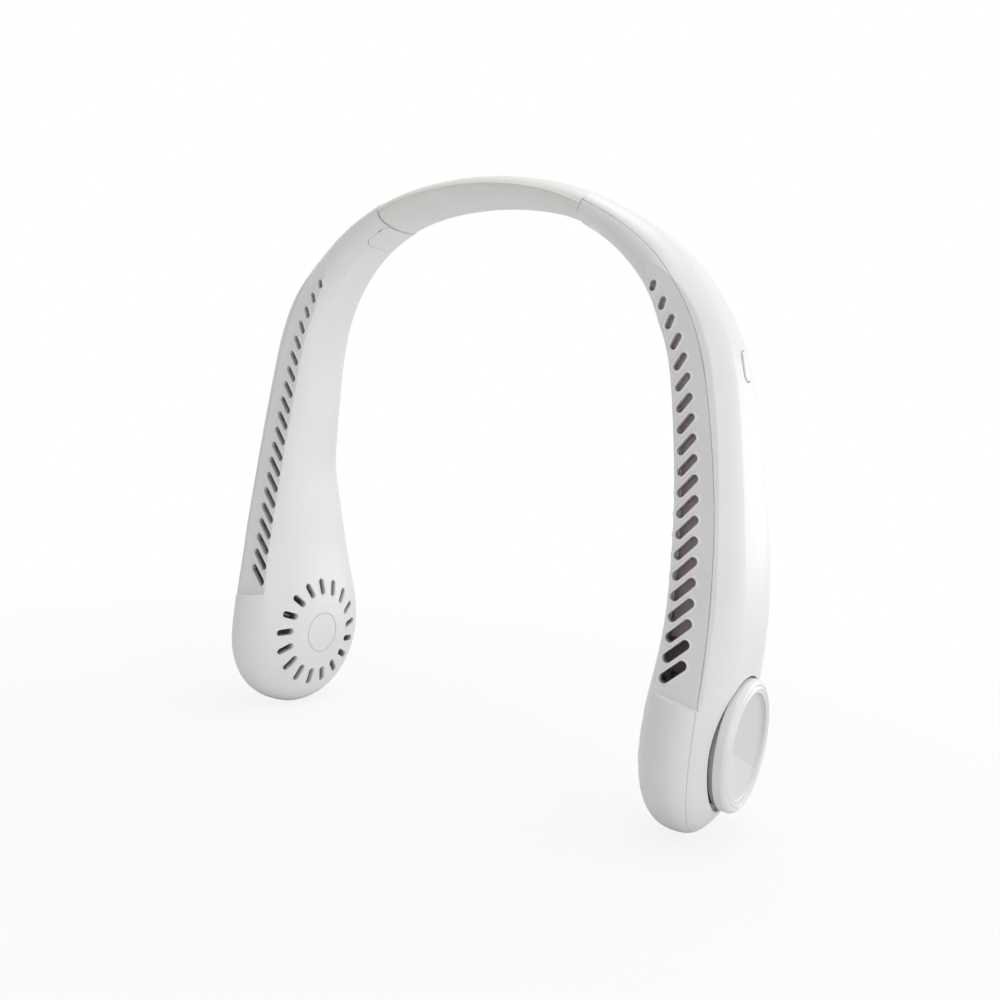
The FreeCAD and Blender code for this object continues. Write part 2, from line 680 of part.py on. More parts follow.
pieces = {
    "inner_shell": inner_shell,
    "outer_cover": outer_cover,
    "intake_disc": put(disc_cap(), pod),
    "duct_divider": divider,
    "motor_board": put(motor_board, pod),
    "motor_screws": put(small_screws(screw_spots, board_floor + board_thickness), pod),
    "stator_core": put(stator_core(), pod),
    "stator_coils": put(stator_coils(), pod),
    "bearing_bush": put(bush, pod),
    "blower_wheel": put(wheel(), pod),
    "rotor_yoke": put(yoke, pod),
    "rotor_magnet": put(magnet, pod),
    "motor_shaft": put(shaft, pod),
    "battery_cell": cell,
    "screw_cover": screw_cover,
    "joint_screws": joint_screws(),
}
nodes = {}
for name, shape in pieces.items():
    nodes["left_" + name] = shape.mirror(*mirror)
    nodes["right_" + name] = shape

# Right arm only: board with switch, button through the cover, charging socket in the back edge.
board_place = local(board_s, main_board_y)
board_top = main_board_n + main_board_thickness
board_holes = [(board_post_shift, board_post_spread), (board_post_shift, -board_post_spread)]
main_board = soft_box(main_board_width, main_board_length, main_board_thickness, main_board_n, 1.5)
main_board = main_board.cut(Part.makeCompound(
    [cyl(small_screw_radius + screw_hole_gap, 0, 9, x, y) for x, y in board_holes]))
posts = []
for x, y in board_holes:
    post = cyl(board_post_radius, main_board_n - 14, main_board_n, x, y)
    post = put(post, board_place).common(body)
    posts.append(post.cut(put(cyl(small_screw_radius, -9, 20, x, y).common(
        box(30, 60, 40, main_board_n - small_screw_depth)), board_place)))
right_inner = nodes["right_inner_shell"].multiFuse(posts)

button_place = local(button_s, button_y)
button_top = skin(button_s, button_y) + button_rise
button_flange_floor = skin(button_s, button_y, wall) - moving_gap - button_flange_height - 0.3
plunger_top = button_flange_floor - button_travel - 0.1
in_board = board_place.inverse().multVec(at(button_s, plunger_top - plunger_height, button_y))
switch = box(switch_size, switch_size, in_board.z - board_top, board_top)
switch.translate(V(in_board.x, in_board.y, 0))
plunger = put(cyl(plunger_radius, plunger_top - plunger_height - 0.4, plunger_top), button_place)
switch = put(switch, board_place).fuse(plunger).removeSplitter()

stem = pill(button_length, button_width, button_top - button_flange_floor, button_flange_floor)
rim = [e for e in stem.Edges if abs(e.CenterOfMass.z - button_top) < 1e-6]
stem = stem.makeFillet(0.4, rim)
flange = pill(button_length + 2 * button_flange, button_width + 2 * button_flange, button_flange_height,
              button_flange_floor)
button = put(stem.fuse(flange).removeSplitter(), button_place)
button_hole = put(pill(button_length + 2 * moving_gap, button_width + 2 * moving_gap, 20, button_flange_floor),
                  button_place)
flange_room = put(pill(button_length + 2 * button_flange + 2 * moving_gap,
                       button_width + 2 * button_flange + 2 * moving_gap,
                       button_flange_height + moving_gap + 2.0, button_flange_floor - 2.0), button_place)

port_s = board_s + port_drop
port_n = board_top + port_height / 2
port_back = along(back_y, port_s) - 0.4
port_outer = pill(port_width, port_height, port_depth)
port_inner = pill(port_width - 2 * port_wall, port_height - 2 * port_wall, port_depth - 1.0, 1.0)
tongue = box(tongue_height, tongue_width, tongue_length + 0.5, 0.5)
socket = port_outer.cut(port_inner).fuse(tongue).removeSplitter()
port_local = board_place.multiply(FreeCAD.Placement(
    V(port_back - port_depth - main_board_y, -port_drop, port_n),
    FreeCAD.Rotation(V(0, 0, 1), V(0, -1, 0), V(1, 0, 0), "ZYX")))
socket = put(socket, port_local)
port_hole = put(pill(port_width + 2 * port_gap, port_height + 2 * port_gap, 20.0, -1.0), port_local)

nodes["right_inner_shell"] = right_inner.cut(port_hole).cut(flange_room).removeSplitter()
right_cover = nodes["right_outer_cover"].cut(button_hole).cut(flange_room).cut(port_hole)
nodes["right_outer_cover"] = right_cover
nodes["main_board"] = put(main_board, board_place)
nodes["board_screws"] = put(small_screws(board_holes, board_top), board_place)
nodes["power_switch"] = switch
nodes["power_button"] = button
nodes["charging_socket"] = socket

# Neck section.
half = [s_joint * (k / 6.0) for k in range(-6, 7)]
ends = s_joint - joint_gap / 2
half[0] = -ends
half[-1] = ends
strip = band(-tang_end, tang_end, strip_thickness, strip_width, strip_centre_y)
strip_holes = []
for y in joint_screw_y:
    hole = put(cyl(joint_screw_radius + 0.05, -3, 3), local(joint_screw_s, y))
    strip_holes += [hole, hole.mirror(*mirror)]
strip = strip.cut(Part.makeCompound(strip_holes))
plug_right_s = board_s - board_post_spread + board_post_radius + plug_gap + plug_length / 2
plug = box(plug_width, plug_length, plug_width, main_board_n - plug_width)
plug.translate(V(cable_y - main_board_y, board_s - plug_right_s, 0))
plug = put(plug, board_place)
cell_top = cell_s - cell_length / 2
plug_left = box(plug_width, plug_length, plug_width, core_n - plug_width / 2)
plug_left.translate(V(cable_y - cell_y, cell_length / 2 + plug_length / 2, 0))
plug_left = put(plug_left, local(cell_s, cell_y)).mirror(*mirror)
cable = cord(-(cell_top - plug_length / 2), plug_right_s - plug_length / 4, cable_radius)
cable = cable.multiFuse([plug, plug_left]).removeSplitter()
sleeve = Part.makeLoft([section(s, sleeve_inset) for s in half], True, False)
sleeve = sleeve.cut(band(-tang_end, tang_end, strip_thickness, strip_width, strip_centre_y))
sleeve = sleeve.cut(cord(-tang_end, tang_end, cable_radius))
nodes["neck_sleeve"] = sleeve
nodes["spring_strip"] = strip
nodes["link_cable"] = cable

for name, shape in nodes.items():
    solids = shape.Solids
    shape = solids[0] if len(solids) == 1 else Part.makeCompound(solids)
    shape.exportStep("parts/" + name + ".step")
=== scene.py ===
import math

import bmesh
import bpy
import numpy as np
from mathutils import Matrix, Vector


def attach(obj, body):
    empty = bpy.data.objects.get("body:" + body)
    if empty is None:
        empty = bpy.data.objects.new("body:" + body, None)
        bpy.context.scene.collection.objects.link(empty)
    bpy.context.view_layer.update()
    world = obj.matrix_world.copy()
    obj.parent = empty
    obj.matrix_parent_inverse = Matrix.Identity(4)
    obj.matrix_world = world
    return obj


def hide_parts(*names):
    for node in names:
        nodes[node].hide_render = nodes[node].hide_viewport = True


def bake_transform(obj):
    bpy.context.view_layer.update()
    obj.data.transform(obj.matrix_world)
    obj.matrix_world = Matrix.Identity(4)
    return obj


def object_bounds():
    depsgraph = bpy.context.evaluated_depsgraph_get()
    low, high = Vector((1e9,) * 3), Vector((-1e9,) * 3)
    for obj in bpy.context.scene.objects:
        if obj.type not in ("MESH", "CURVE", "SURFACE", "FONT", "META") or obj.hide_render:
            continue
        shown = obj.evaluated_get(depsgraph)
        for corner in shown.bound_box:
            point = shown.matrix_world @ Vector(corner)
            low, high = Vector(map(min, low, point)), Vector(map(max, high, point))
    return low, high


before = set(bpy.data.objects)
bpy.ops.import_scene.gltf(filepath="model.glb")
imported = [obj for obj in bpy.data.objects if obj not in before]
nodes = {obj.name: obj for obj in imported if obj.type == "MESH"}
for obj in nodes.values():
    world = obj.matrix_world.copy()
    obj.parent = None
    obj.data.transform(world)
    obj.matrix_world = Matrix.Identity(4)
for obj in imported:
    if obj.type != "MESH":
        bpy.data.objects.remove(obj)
cad_low, cad_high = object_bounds()
MM = 0.001
SIDES = (("left", True), ("right", False))

# Camera that matches the photograph: turn, height and tilt in radians, the rest in mm.
CAMERA_TURN = 0.5608
CAMERA_HEIGHT = 0.07159
CAMERA_TILT = 0.10163
CAMERA_DISTANCE = 299.304
CAMERA_AIM = (14.2975, -17.3517)
CAMERA_ORIGIN_Y = -7.0
CAMERA_LENS = 34.2
CAMERA_SENSOR = 36.0
CAMERA_NEAR = 10.0

# Studio in m and W: the floor, its fade to white, and the name, place, size and power of each lamp.
FLOOR_HALF = 3.0
FLOOR_DROP = 0.0004
FLOOR_TONE = 0.78
FLOOR_ROUGHNESS = 0.9
FLOOR_FADE = (0.12, 0.42)
FLOOR_WHITE = (0.84, 1.0)
WORLD_STRENGTH = 0.55
LAMP_AIM = (0.0, 0.0, -0.01)
LAMPS = (
    ("side_lamp", (2.3, -0.6, 0.6), 1.4, 13.5),
    ("top_lamp", (0.10, 0.15, 1.0), 0.7, 4.4),
    ("left_lamp", (-0.9, 0.4, 0.4), 0.5, 0.5),
    ("back_lamp", (0.6, 0.95, 0.1), 0.6, 2.4),
)

# The U line of the neck fan in mm: crown arc, shoulder arc, arm arc, then straight.
CROWN_HEIGHT = 77.7
CROWN_RADIUS = 112.0
CROWN_ANGLE = math.radians(11.5)
SHOULDER_RADIUS = 65.0
SHOULDER_END = math.radians(78.8)
ARM_RADIUS = 387.0
ARM_END = math.radians(90.6)
S_JOINT = 37.6
S_POD = 200.4

# The arm's section in mm, with one value for each station along the U line.
STATIONS = np.array([0.0, S_JOINT, 70.0, 100.0, 135.0, 165.0, S_POD])
FRONT_Y = np.array([-11.5, -11.5, -10.9, -9.6, -9.0, -9.8, -13.0])
BACK_Y = np.array([11.0, 11.5, 16.5, 23.0, 29.5, 38.5, 44.0])
INNER_DEPTH = np.array([2.2, 2.6, 4.2, 5.4, 6.2, 8.0, 12.2])
OUTER_DEPTH = np.array([6.5, 6.8, 9.6, 11.2, 11.8, 13.4, 14.0])
LEAN = np.array([0.0, 0.03, 0.09, 0.10, 0.10, 0.05, 0.0])
NECK_ROUNDNESS = np.array([3.2, 3.2, 3.2, 3.2, 3.2, 2.7, 2.0])
BACK_ROUNDNESS = 2.4
FRONT_ROUNDNESS = 3.2
END_ROUNDNESS = 2.4
POD_RADIUS = (BACK_Y[-1] - FRONT_Y[-1]) / 2
POD_Y = (BACK_Y[-1] + FRONT_Y[-1]) / 2

# Soft-edged form that trims the shells and lids: lengths in mm, and roundness at the stations.
ROUND_SPARE = 0.3
ROUND_START = 34.0
ROUND_OUTER = np.array([2.2, 2.2, 2.0, 2.0, 2.2, 2.4, 2.6])
ROUND_INNER = np.array([2.2, 2.2, 2.5, 3.6, 3.6, 3.6, 3.6])
ROUND_FADE = (60.0, 84.0)
ROUND_SINK = 0.05
EDGE_BEND = (0.2, 0.08)
ROUND_TURNS = 200
ROUND_STEPS = 220
TIP_STEPS = 60

# Cutting of the solids' copies: distance in m under which points merge, and the box over one half in mm.
MERGE_DISTANCE = 2e-6
HALF_BOX = np.array([[0.0, -100.0, -150.0], [200.0, 100.0, 150.0]])

# Floors that keep a division away from zero.
TINY = 1e-6
TINY_STEP = 1e-9

# Soft sleeve and the fine line along its front edge, in mm.
SLEEVE_INSET = 0.25
SLEEVE_END = S_JOINT - 0.15
SLEEVE_LIP = 0.45
SLEEVE_ROUNDNESS = (2.6, 2.2)
SLEEVE_EDGE = 0.45
SLEEVE_CAP_INSETS = np.array([0.75, 1.4, 2.0, 2.4])
SLEEVE_STEPS = 64
SLEEVE_TURNS = 160
LIP_STEPS = 6
SEAM_RADIUS = 0.42
SEAM_SINK = 0.12
SEAM_TURNS = 12

# Parting line, the tongue that closes it, and the mauve lining of the duct behind the outlet slots, whose
# tone is partly its colour and partly painted shade of the duct, in mm.
PARTING_DEPTH = np.array([3.4, 3.4, 5.6, 6.6, 7.8, 8.4, 9.0])
PARTING_GAP = 0.2
TONGUE_START = S_JOINT + 0.6
TONGUE_END = S_POD + 0.972 * POD_RADIUS
TONGUE_INSETS = (0.12, 1.5)
TONGUE_HALF = 0.08
TONGUE_STEPS = 260
TONGUE_GUESS = 0.5
TONGUE_ROUNDS = 12
LINING_RANGE = (64.0, 170.0)
LINING_SPAN = (-4.2, 5.6)
LINING_CLEAR = 1.9
LINING_DEPTHS = (1.9, 5.0)
LINING_WALL = 0.5
LINING_STEPS = (140, 14)

# Raised disc on the pod: radius and height of its dished face, ring, groove, rim and undercut, in mm.
DISC_PROFILE = np.array([
    [0.0, 15.5], [6.0, 15.55], [11.0, 15.62], [14.0, 15.68], [15.3, 15.72], [15.55, 15.85],
    [15.65, 16.5], [15.75, 16.85], [15.95, 17.02], [16.25, 17.12], [16.6, 17.15], [16.95, 17.1],
    [17.25, 16.98], [17.48, 16.8], [17.62, 16.56], [17.75, 16.56], [17.9, 16.78], [18.05, 16.8],
    [18.4, 16.66], [18.85, 16.35], [19.2, 15.9], [19.45, 15.3], [19.6, 14.5], [19.7, 13.3],
    [18.5, 13.1], [18.5, 5.0], [0.0, 5.0]])
DISC_FACE_RADIUS = 15.6
DISC_FACE_POINTS = 4
DISC_FACE_DROP = 1.0
DISC_FACE_STEPS = 40
DISC_TURNS = 240
FOLD_OFFSET = 4.1
FOLD_TURN = math.radians(156.4)
FOLD_SLOPE = math.tan(math.radians(2.3))
# Painted shade on the disc's face: the share of its colour that it keeps, less darkened past the fold line as
# painted light on the tilted part.
FACE_PAINTED_SHADE = 0.80
FOLD_PAINTED_SHADE = 0.89
MASK_SOFTNESS = 0.1

# Outlet strip and slots, intake slots and ring, and the rounded lip that each slot has, in mm.
STRIP_POINTS = np.array([[-11.3, 70.0], [-6.0, 0.0], [-8.9, -62.0]])
STRIP_TOP = 75.0
STRIP_LEAN = math.radians(10.0)
FAR_FRONT = -99.0
SLOT_COUNT = 20
SLOT_RANGE = (70.8, 178.6)
SLOT_LENGTHS = (3.3, 9.5)
SLOT_WIDTHS = (2.2, 3.1)
SLOT_TILT = math.radians(44.0)
INTAKE_COUNT = 17
INTAKE_RADII = (13.8, 20.3)
INTAKE_WIDTH = 2.6
INTAKE_SWIRL = math.radians(10.0)
INTAKE_LIP_SHARE = 0.35
INTAKE_RING = np.array([[7.0, 0.28], [7.6, 0.28], [7.6, 0.9], [7.0, 0.9]])
RING_TURNS = 120
LIP_OUT = np.array([0.62, 0.54, 0.42, 0.26, 0.10, -0.02, -0.10, -0.14, -0.14, 0.30])
LIP_RISE = np.array([-0.12, 0.05, 0.17, 0.23, 0.21, 0.12, -0.04, -0.25, -2.90, -2.90])
LIP_FADES = (5, 2)
SLOPE_PROBE = 0.1
OUTLET_CAP_STEPS = 14
INTAKE_CAP_STEPS = 12
SLOT_SIDE_STEPS = 10

# Moulded finish: the cloudy tone, then the grain's detail, scale, share in the gloss, strength and depth.
CLOUD_SCALE = 45.0
CLOUD_DETAIL = 4.0
CLOUD_RANGE = (0.35, 0.7)
GRAIN_DETAIL = 2.0
GRAIN_SIZE = 2500.0
GRAIN_GLOSS = 0.12
GRAIN_BUMP = 0.05
GRAIN_DEPTH = 0.00002


def along(values, s):
    """Monotone cubic through one value per station: Hermite pieces with harmonic mean slopes."""
    h = np.diff(STATIONS)
    d = np.diff(values) / h
    slopes = np.zeros(len(values))
    same = d[:-1] * d[1:] > 0
    slopes[1:-1][same] = 2 * d[:-1][same] * d[1:][same] / (d[:-1][same] + d[1:][same])
    k = np.clip(np.searchsorted(STATIONS, s, side="right") - 1, 0, len(h) - 1)
    t = np.clip((s - STATIONS[k]) / h[k], 0, 1)
    ends = (1 + 2 * t) * (1 - t) ** 2 * values[k] + t * t * (3 - 2 * t) * values[k + 1]
    return ends + h[k] * (t * (1 - t) ** 2 * slopes[k] + t * t * (t - 1) * slopes[k + 1])


def outline(s):
    """Front, back, outer and inner reach of the arm's section at distance s."""
    return along(FRONT_Y, s), along(BACK_Y, s), along(OUTER_DEPTH, s), along(INNER_DEPTH, s)


def spine(s):
    """Point and turning angle of the U line at distance s from the crown: arc by arc, then straight on."""
    first = CROWN_RADIUS * CROWN_ANGLE
    second = first + SHOULDER_RADIUS * (SHOULDER_END - CROWN_ANGLE)
    third = second + ARM_RADIUS * (ARM_END - SHOULDER_END)
    x1 = (CROWN_RADIUS - SHOULDER_RADIUS) * math.sin(CROWN_ANGLE)
    z1 = CROWN_HEIGHT - CROWN_RADIUS + (CROWN_RADIUS - SHOULDER_RADIUS) * math.cos(CROWN_ANGLE)
    x2 = x1 + (SHOULDER_RADIUS - ARM_RADIUS) * math.sin(SHOULDER_END)
    z2 = z1 + (SHOULDER_RADIUS - ARM_RADIUS) * math.cos(SHOULDER_END)
    part = [s < first, s < second]
    angle = np.select(part, [s / CROWN_RADIUS, CROWN_ANGLE + (s - first) / SHOULDER_RADIUS],
                      SHOULDER_END + (np.minimum(s, third) - second) / ARM_RADIUS)
    radius = np.select(part, [CROWN_RADIUS, SHOULDER_RADIUS], ARM_RADIUS)
    cx = np.select(part, [0.0, x1], x2)
    cz = np.select(part, [CROWN_HEIGHT - CROWN_RADIUS, z1], z2)
    tail = np.maximum(0.0, s - third)
    x = cx + radius * np.sin(angle) + tail * np.cos(angle)
    z = cz + radius * np.cos(angle) - tail * np.sin(angle)
    return x, z, angle


def beside(s, n):
    """Place across and height of points n outwards from the U line at distance s."""
    x, z, angle = spine(s)
    return x + n * np.sin(angle), z + n * np.cos(angle)


def at(s, n, y):
    """Points n outwards from the U line at distance s, at depth y, as an array of rows."""
    x, z = beside(s, n)
    return np.stack(np.broadcast_arrays(x, y, z), axis=-1)


def strip_slant(x, z):
    """Height on the outlet strip's arc that belongs to a place on the front, as the strip leans across."""
    return z - (spine(np.array(SLOT_RANGE[1]))[0] - x) * math.tan(STRIP_LEAN)


def strip_depth(z):
    """Depth of the outlet strip at a height: the arc through its top, middle and bottom points."""
    (y1, z1), (y2, z2), (y3, z3) = STRIP_POINTS
    rows = np.array([[y2 - y1, z2 - z1], [y3 - y1, z3 - z1]])
    sums = np.array([y2 ** 2 - y1 ** 2 + z2 ** 2 - z1 ** 2, y3 ** 2 - y1 ** 2 + z3 ** 2 - z1 ** 2]) / 2
    cy, cz = np.linalg.solve(rows, sums)
    radius = math.hypot(y1 - cy, z1 - cz)
    return cy + math.copysign(1.0, y2 - cy) * np.sqrt(radius ** 2 - (z - cz) ** 2)


def facet_depth(x, z):
    """Depth of the outlet strip's facet: its arc, slanted across, and far in front below its lower end."""
    low = STRIP_POINTS[2, 1]
    slant = strip_slant(x, z)
    return np.where(slant > low, strip_depth(np.clip(slant, low, STRIP_TOP)), FAR_FRONT)


def rounded_tip(s):
    """Front of the rounding form: just behind the strip's arc near the joint, then smoothly clear of it."""
    x, z, _ = spine(s)
    slant = np.clip(strip_slant(x, z), STRIP_POINTS[2, 1], STRIP_POINTS[0, 1])
    strip = np.maximum(strip_depth(slant), STRIP_POINTS[0, 0])
    u = np.clip((s - ROUND_FADE[0]) / (ROUND_FADE[1] - ROUND_FADE[0]), 0, 1)
    u = u * u * (3 - 2 * u)
    return (1 - u) * (strip + ROUND_SINK) + u * (along(FRONT_Y, s) - ROUND_SPARE)


def front_depth(s, n, x, z):
    """Depth of the arm's front: the rearmost of its rounded section, its soft-edged form and the strip."""
    front, back, outer, inner = outline(s)
    middle, centre = (back + front) / 2, (outer - inner) / 2

    def curve(tip, spare, m):
        d = np.clip((s - S_POD) / (POD_RADIUS + spare), 0, 1)
        half = ((outer + inner) / 2 + spare) * (1 - d ** END_ROUNDNESS) ** (1 / END_ROUNDNESS)
        share = np.clip(np.abs(n - centre) / np.maximum(half, TINY), 0, 1)
        return middle - (middle - tip) * np.sqrt(1 - d * d) * (1 - share ** m) ** (1 / m)

    outside = n > centre
    plain = curve(front, 0.0, np.where(outside, FRONT_ROUNDNESS, along(NECK_ROUNDNESS, s)))
    roundness = np.where(outside, along(ROUND_OUTER, s), along(ROUND_INNER, s))
    soft = curve(rounded_tip(s), ROUND_SPARE, roundness)
    return np.maximum(np.maximum(plain, soft), facet_depth(x, z))


def neck_side(s, y):
    """How far the arm's neck side stands from the U line: the rounded section solved for its depth."""
    d = np.maximum(0.0, s - S_POD) / POD_RADIUS
    front, back, outer, inner = outline(s)
    half_y = (back - front) / 2 * np.sqrt(1 - d * d)
    half_n = (outer + inner) / 2 * (1 - d ** END_ROUNDNESS) ** (1 / END_ROUNDNESS)
    m = np.where(y > (back + front) / 2, BACK_ROUNDNESS, along(NECK_ROUNDNESS, s))
    share = np.clip(np.abs(y - (back + front) / 2) / half_y, 0, 1)
    return (outer - inner) / 2 - half_n * (1 - share ** m) ** (1 / m) + along(LEAN, s) * (y - front)


def parting_offset(s, y):
    """Parting surface's distance from the U line: evenly from its front value to the middle at the back."""
    front, back, outer, inner = outline(s)
    middle = (outer - inner) / 2
    near = along(PARTING_DEPTH, s)
    return near - (near - middle) * (y - front) / (back - front)


def grid_quads(rows, columns):
    """Faces of a grid of points that is closed round its columns."""
    i = np.arange(rows - 1)[:, None] * columns
    j = np.arange(columns)
    k = (j + 1) % columns
    return np.stack([i + j, i + columns + j, i + columns + k, i + k], axis=-1).reshape(-1, 4)


def ring_face(row, columns):
    """One flat face over a row of the grid."""
    return list(range(row * columns, (row + 1) * columns))


def fan(row, columns, apex):
    """Triangles from a row of the grid to one point."""
    j = np.arange(columns)
    return np.stack([row * columns + j, row * columns + (j + 1) % columns, np.full(columns, apex)], axis=-1)


def ring_quads(count, loop, profile):
    """Faces of closed beads: each bead is a loop of points with a closed profile."""
    b = np.arange(count)[:, None, None] * loop * profile
    i, j = np.arange(loop)[None, :, None], np.arange(profile)[None, None, :]
    k, m = (i + 1) % loop, (j + 1) % profile
    corners = (b + i * profile + j, b + k * profile + j, b + k * profile + m, b + i * profile + m)
    return np.stack(np.broadcast_arrays(*corners), -1).reshape(-1, 4)


def make_piece(name, points, faces, mirrored=False):
    """Mesh object from points in mm and index faces; a mirrored one is turned over so that it faces out."""
    points = np.array(points, float).reshape(-1, 3) * MM
    if mirrored:
        points = points * np.array([-1.0, 1.0, 1.0])
        faces = [list(f)[::-1] for f in faces]
    mesh = bpy.data.meshes.new(name)
    mesh.from_pydata(points.tolist(), [], [list(map(int, f)) for f in faces])
    mesh.update()
    mesh.shade_smooth()
    piece = bpy.data.objects.new(name, mesh)
    bpy.context.scene.collection.objects.link(piece)
    return piece


def keep_normals(mesh):
    """Stores the shading normal of each corner as an attribute, so that a cut keeps it."""
    normals = np.zeros(len(mesh.loops) * 3, dtype=np.float32)
    mesh.corner_normals.foreach_get("vector", normals)
    mesh.attributes.new("kept_normal", "FLOAT_VECTOR", "CORNER").data.foreach_set("vector", normals)


def kept_inside(name, node, form):
    """Merged copy of a solid, cut to the part inside a form, with the normals of both surfaces."""
    mesh = node.data.copy()
    mesh.name = name
    keep_normals(mesh)
    merged = bmesh.new()
    merged.from_mesh(mesh)
    bmesh.ops.remove_doubles(merged, verts=merged.verts, dist=MERGE_DISTANCE)
    merged.to_mesh(mesh)
    merged.free()
    piece = bpy.data.objects.new(name, mesh)
    bpy.context.scene.collection.objects.link(piece)
    cut = piece.modifiers.new("soft_edges", "BOOLEAN")
    cut.operation = "INTERSECT"
    cut.solver = "EXACT"
    cut.object = form
    bpy.context.view_layer.update()
    made = bpy.data.meshes.new_from_object(piece.evaluated_get(bpy.context.evaluated_depsgraph_get()))
    piece.modifiers.clear()
    piece.data = made
    made.materials.clear()
    normals = np.zeros(len(made.loops) * 3, dtype=np.float32)
    made.attributes["kept_normal"].data.foreach_get("vector", normals)
    made.attributes.remove(made.attributes["kept_normal"])
    normals = normals.reshape(-1, 3)
    normals = normals / np.maximum(np.linalg.norm(normals, axis=1, keepdims=True), TINY)
    made.polygons.foreach_set("material_index", np.zeros(len(made.polygons), dtype=np.int32))
    made.shade_smooth()
    made.normals_split_custom_set(normals)
    return piece


def half_form(name, mirrored):
    """Plain box over one half of the object, from the crown's plane outwards."""
    i = np.arange(8)
    points = HALF_BOX[0] + (HALF_BOX[1] - HALF_BOX[0]) * np.stack([i // 4, i // 2 % 2, i % 2], axis=-1)
    faces = [[0, 1, 3, 2], [4, 6, 7, 5], [0, 4, 5, 1], [2, 3, 7, 6], [0, 2, 6, 4], [1, 5, 7, 3]]
    return make_piece(name, points, faces, mirrored)


def rounding_form(name, mirrored):
    """Soft-edged arm: the outline with rounder front corners, |n|^m + |y|^m = 1, closed at the pod's tip.

    Beside the outlet strip its outer edge starts at the parting line and bends back as a parabola."""
    turn = np.linspace(0, 2 * math.pi, ROUND_TURNS, endpoint=False)[None, :]
    swing = np.linspace(0, math.pi / 2, TIP_STEPS)
    reach = POD_RADIUS + ROUND_SPARE
    s = np.concatenate([np.linspace(ROUND_START, S_POD, ROUND_STEPS)[:-1], S_POD + reach * np.sin(swing)])
    s = s[:-1, None]
    d = np.maximum(0.0, s - S_POD) / reach
    front, back, outer, inner = outline(s)
    c, v = np.cos(turn), np.sin(turn)
    m = np.where(v >= 0, BACK_ROUNDNESS, np.where(c >= 0, along(ROUND_OUTER, s), along(ROUND_INNER, s)))
    r = (np.abs(c) ** m + np.abs(v) ** m) ** (-1 / m)
    middle = (back + front) / 2
    half_y = np.where(v >= 0, back + ROUND_SPARE - middle, middle - rounded_tip(s)) * np.sqrt(1 - d * d)
    half_n = ((outer + inner) / 2 + ROUND_SPARE) * (1 - d ** END_ROUNDNESS) ** (1 / END_ROUNDNESS)
    y = middle + half_y * r * v
    n = (outer - inner) / 2 + half_n * r * c
    past = n - parting_offset(s, y) - PARTING_GAP
    bent = facet_depth(*beside(s, n)) + EDGE_BEND[0] * past + EDGE_BEND[1] * past ** 2
    y = np.where((past > 0) & (v < 0) & (c > 0), np.maximum(y, np.minimum(bent, middle)), y)
    points = at(s, n + along(LEAN, s) * (y - front), y)
    rows, columns = points.shape[:2]
    tip = at(np.array(S_POD + POD_RADIUS + ROUND_SPARE), (outer[-1, 0] - inner[-1, 0]) / 2, POD_Y)
    faces = grid_quads(rows, columns).tolist() + [ring_face(0, columns)]
    faces += fan(rows - 1, columns, rows * columns).tolist()
    return make_piece(name, np.concatenate([points.reshape(-1, 3), tip[None]]), faces, mirrored)


def disc_form(name, mirrored):
    """Raised disc: its profile turned about the pod's axis, with the face lifted past the fold line."""
    turn = np.linspace(0, 2 * math.pi, DISC_TURNS, endpoint=False)[None, :]
    radii, heights = DISC_PROFILE.T
    steps = np.linspace(0, 1, len(DISC_PROFILE))
    fine = np.unique(np.concatenate([steps, np.linspace(0, steps[DISC_FACE_POINTS - 1], DISC_FACE_STEPS)]))
    r = np.interp(fine, steps, radii)[1:-1, None]
    h = np.interp(fine, steps, heights)[1:-1, None]
    back, up = r * np.cos(turn), r * np.sin(turn)
    fold = np.maximum(0.0, -back * math.sin(FOLD_TURN) + up * math.cos(FOLD_TURN) - FOLD_OFFSET)
    lift = fold * FOLD_SLOPE * (r < DISC_FACE_RADIUS) * (h > heights[0] - DISC_FACE_DROP)
    points = at(S_POD - up, h + lift, POD_Y + back)
    rows, columns = points.shape[:2]
    centres = at(np.array([S_POD, S_POD]), heights[[0, -1]], POD_Y)
    faces = grid_quads(rows, columns).tolist() + fan(0, columns, rows * columns).tolist()
    faces += fan(rows - 1, columns, rows * columns + 1)[:, [1, 0, 2]].tolist()
    return make_piece(name, np.concatenate([points.reshape(-1, 3), centres]), faces, mirrored)


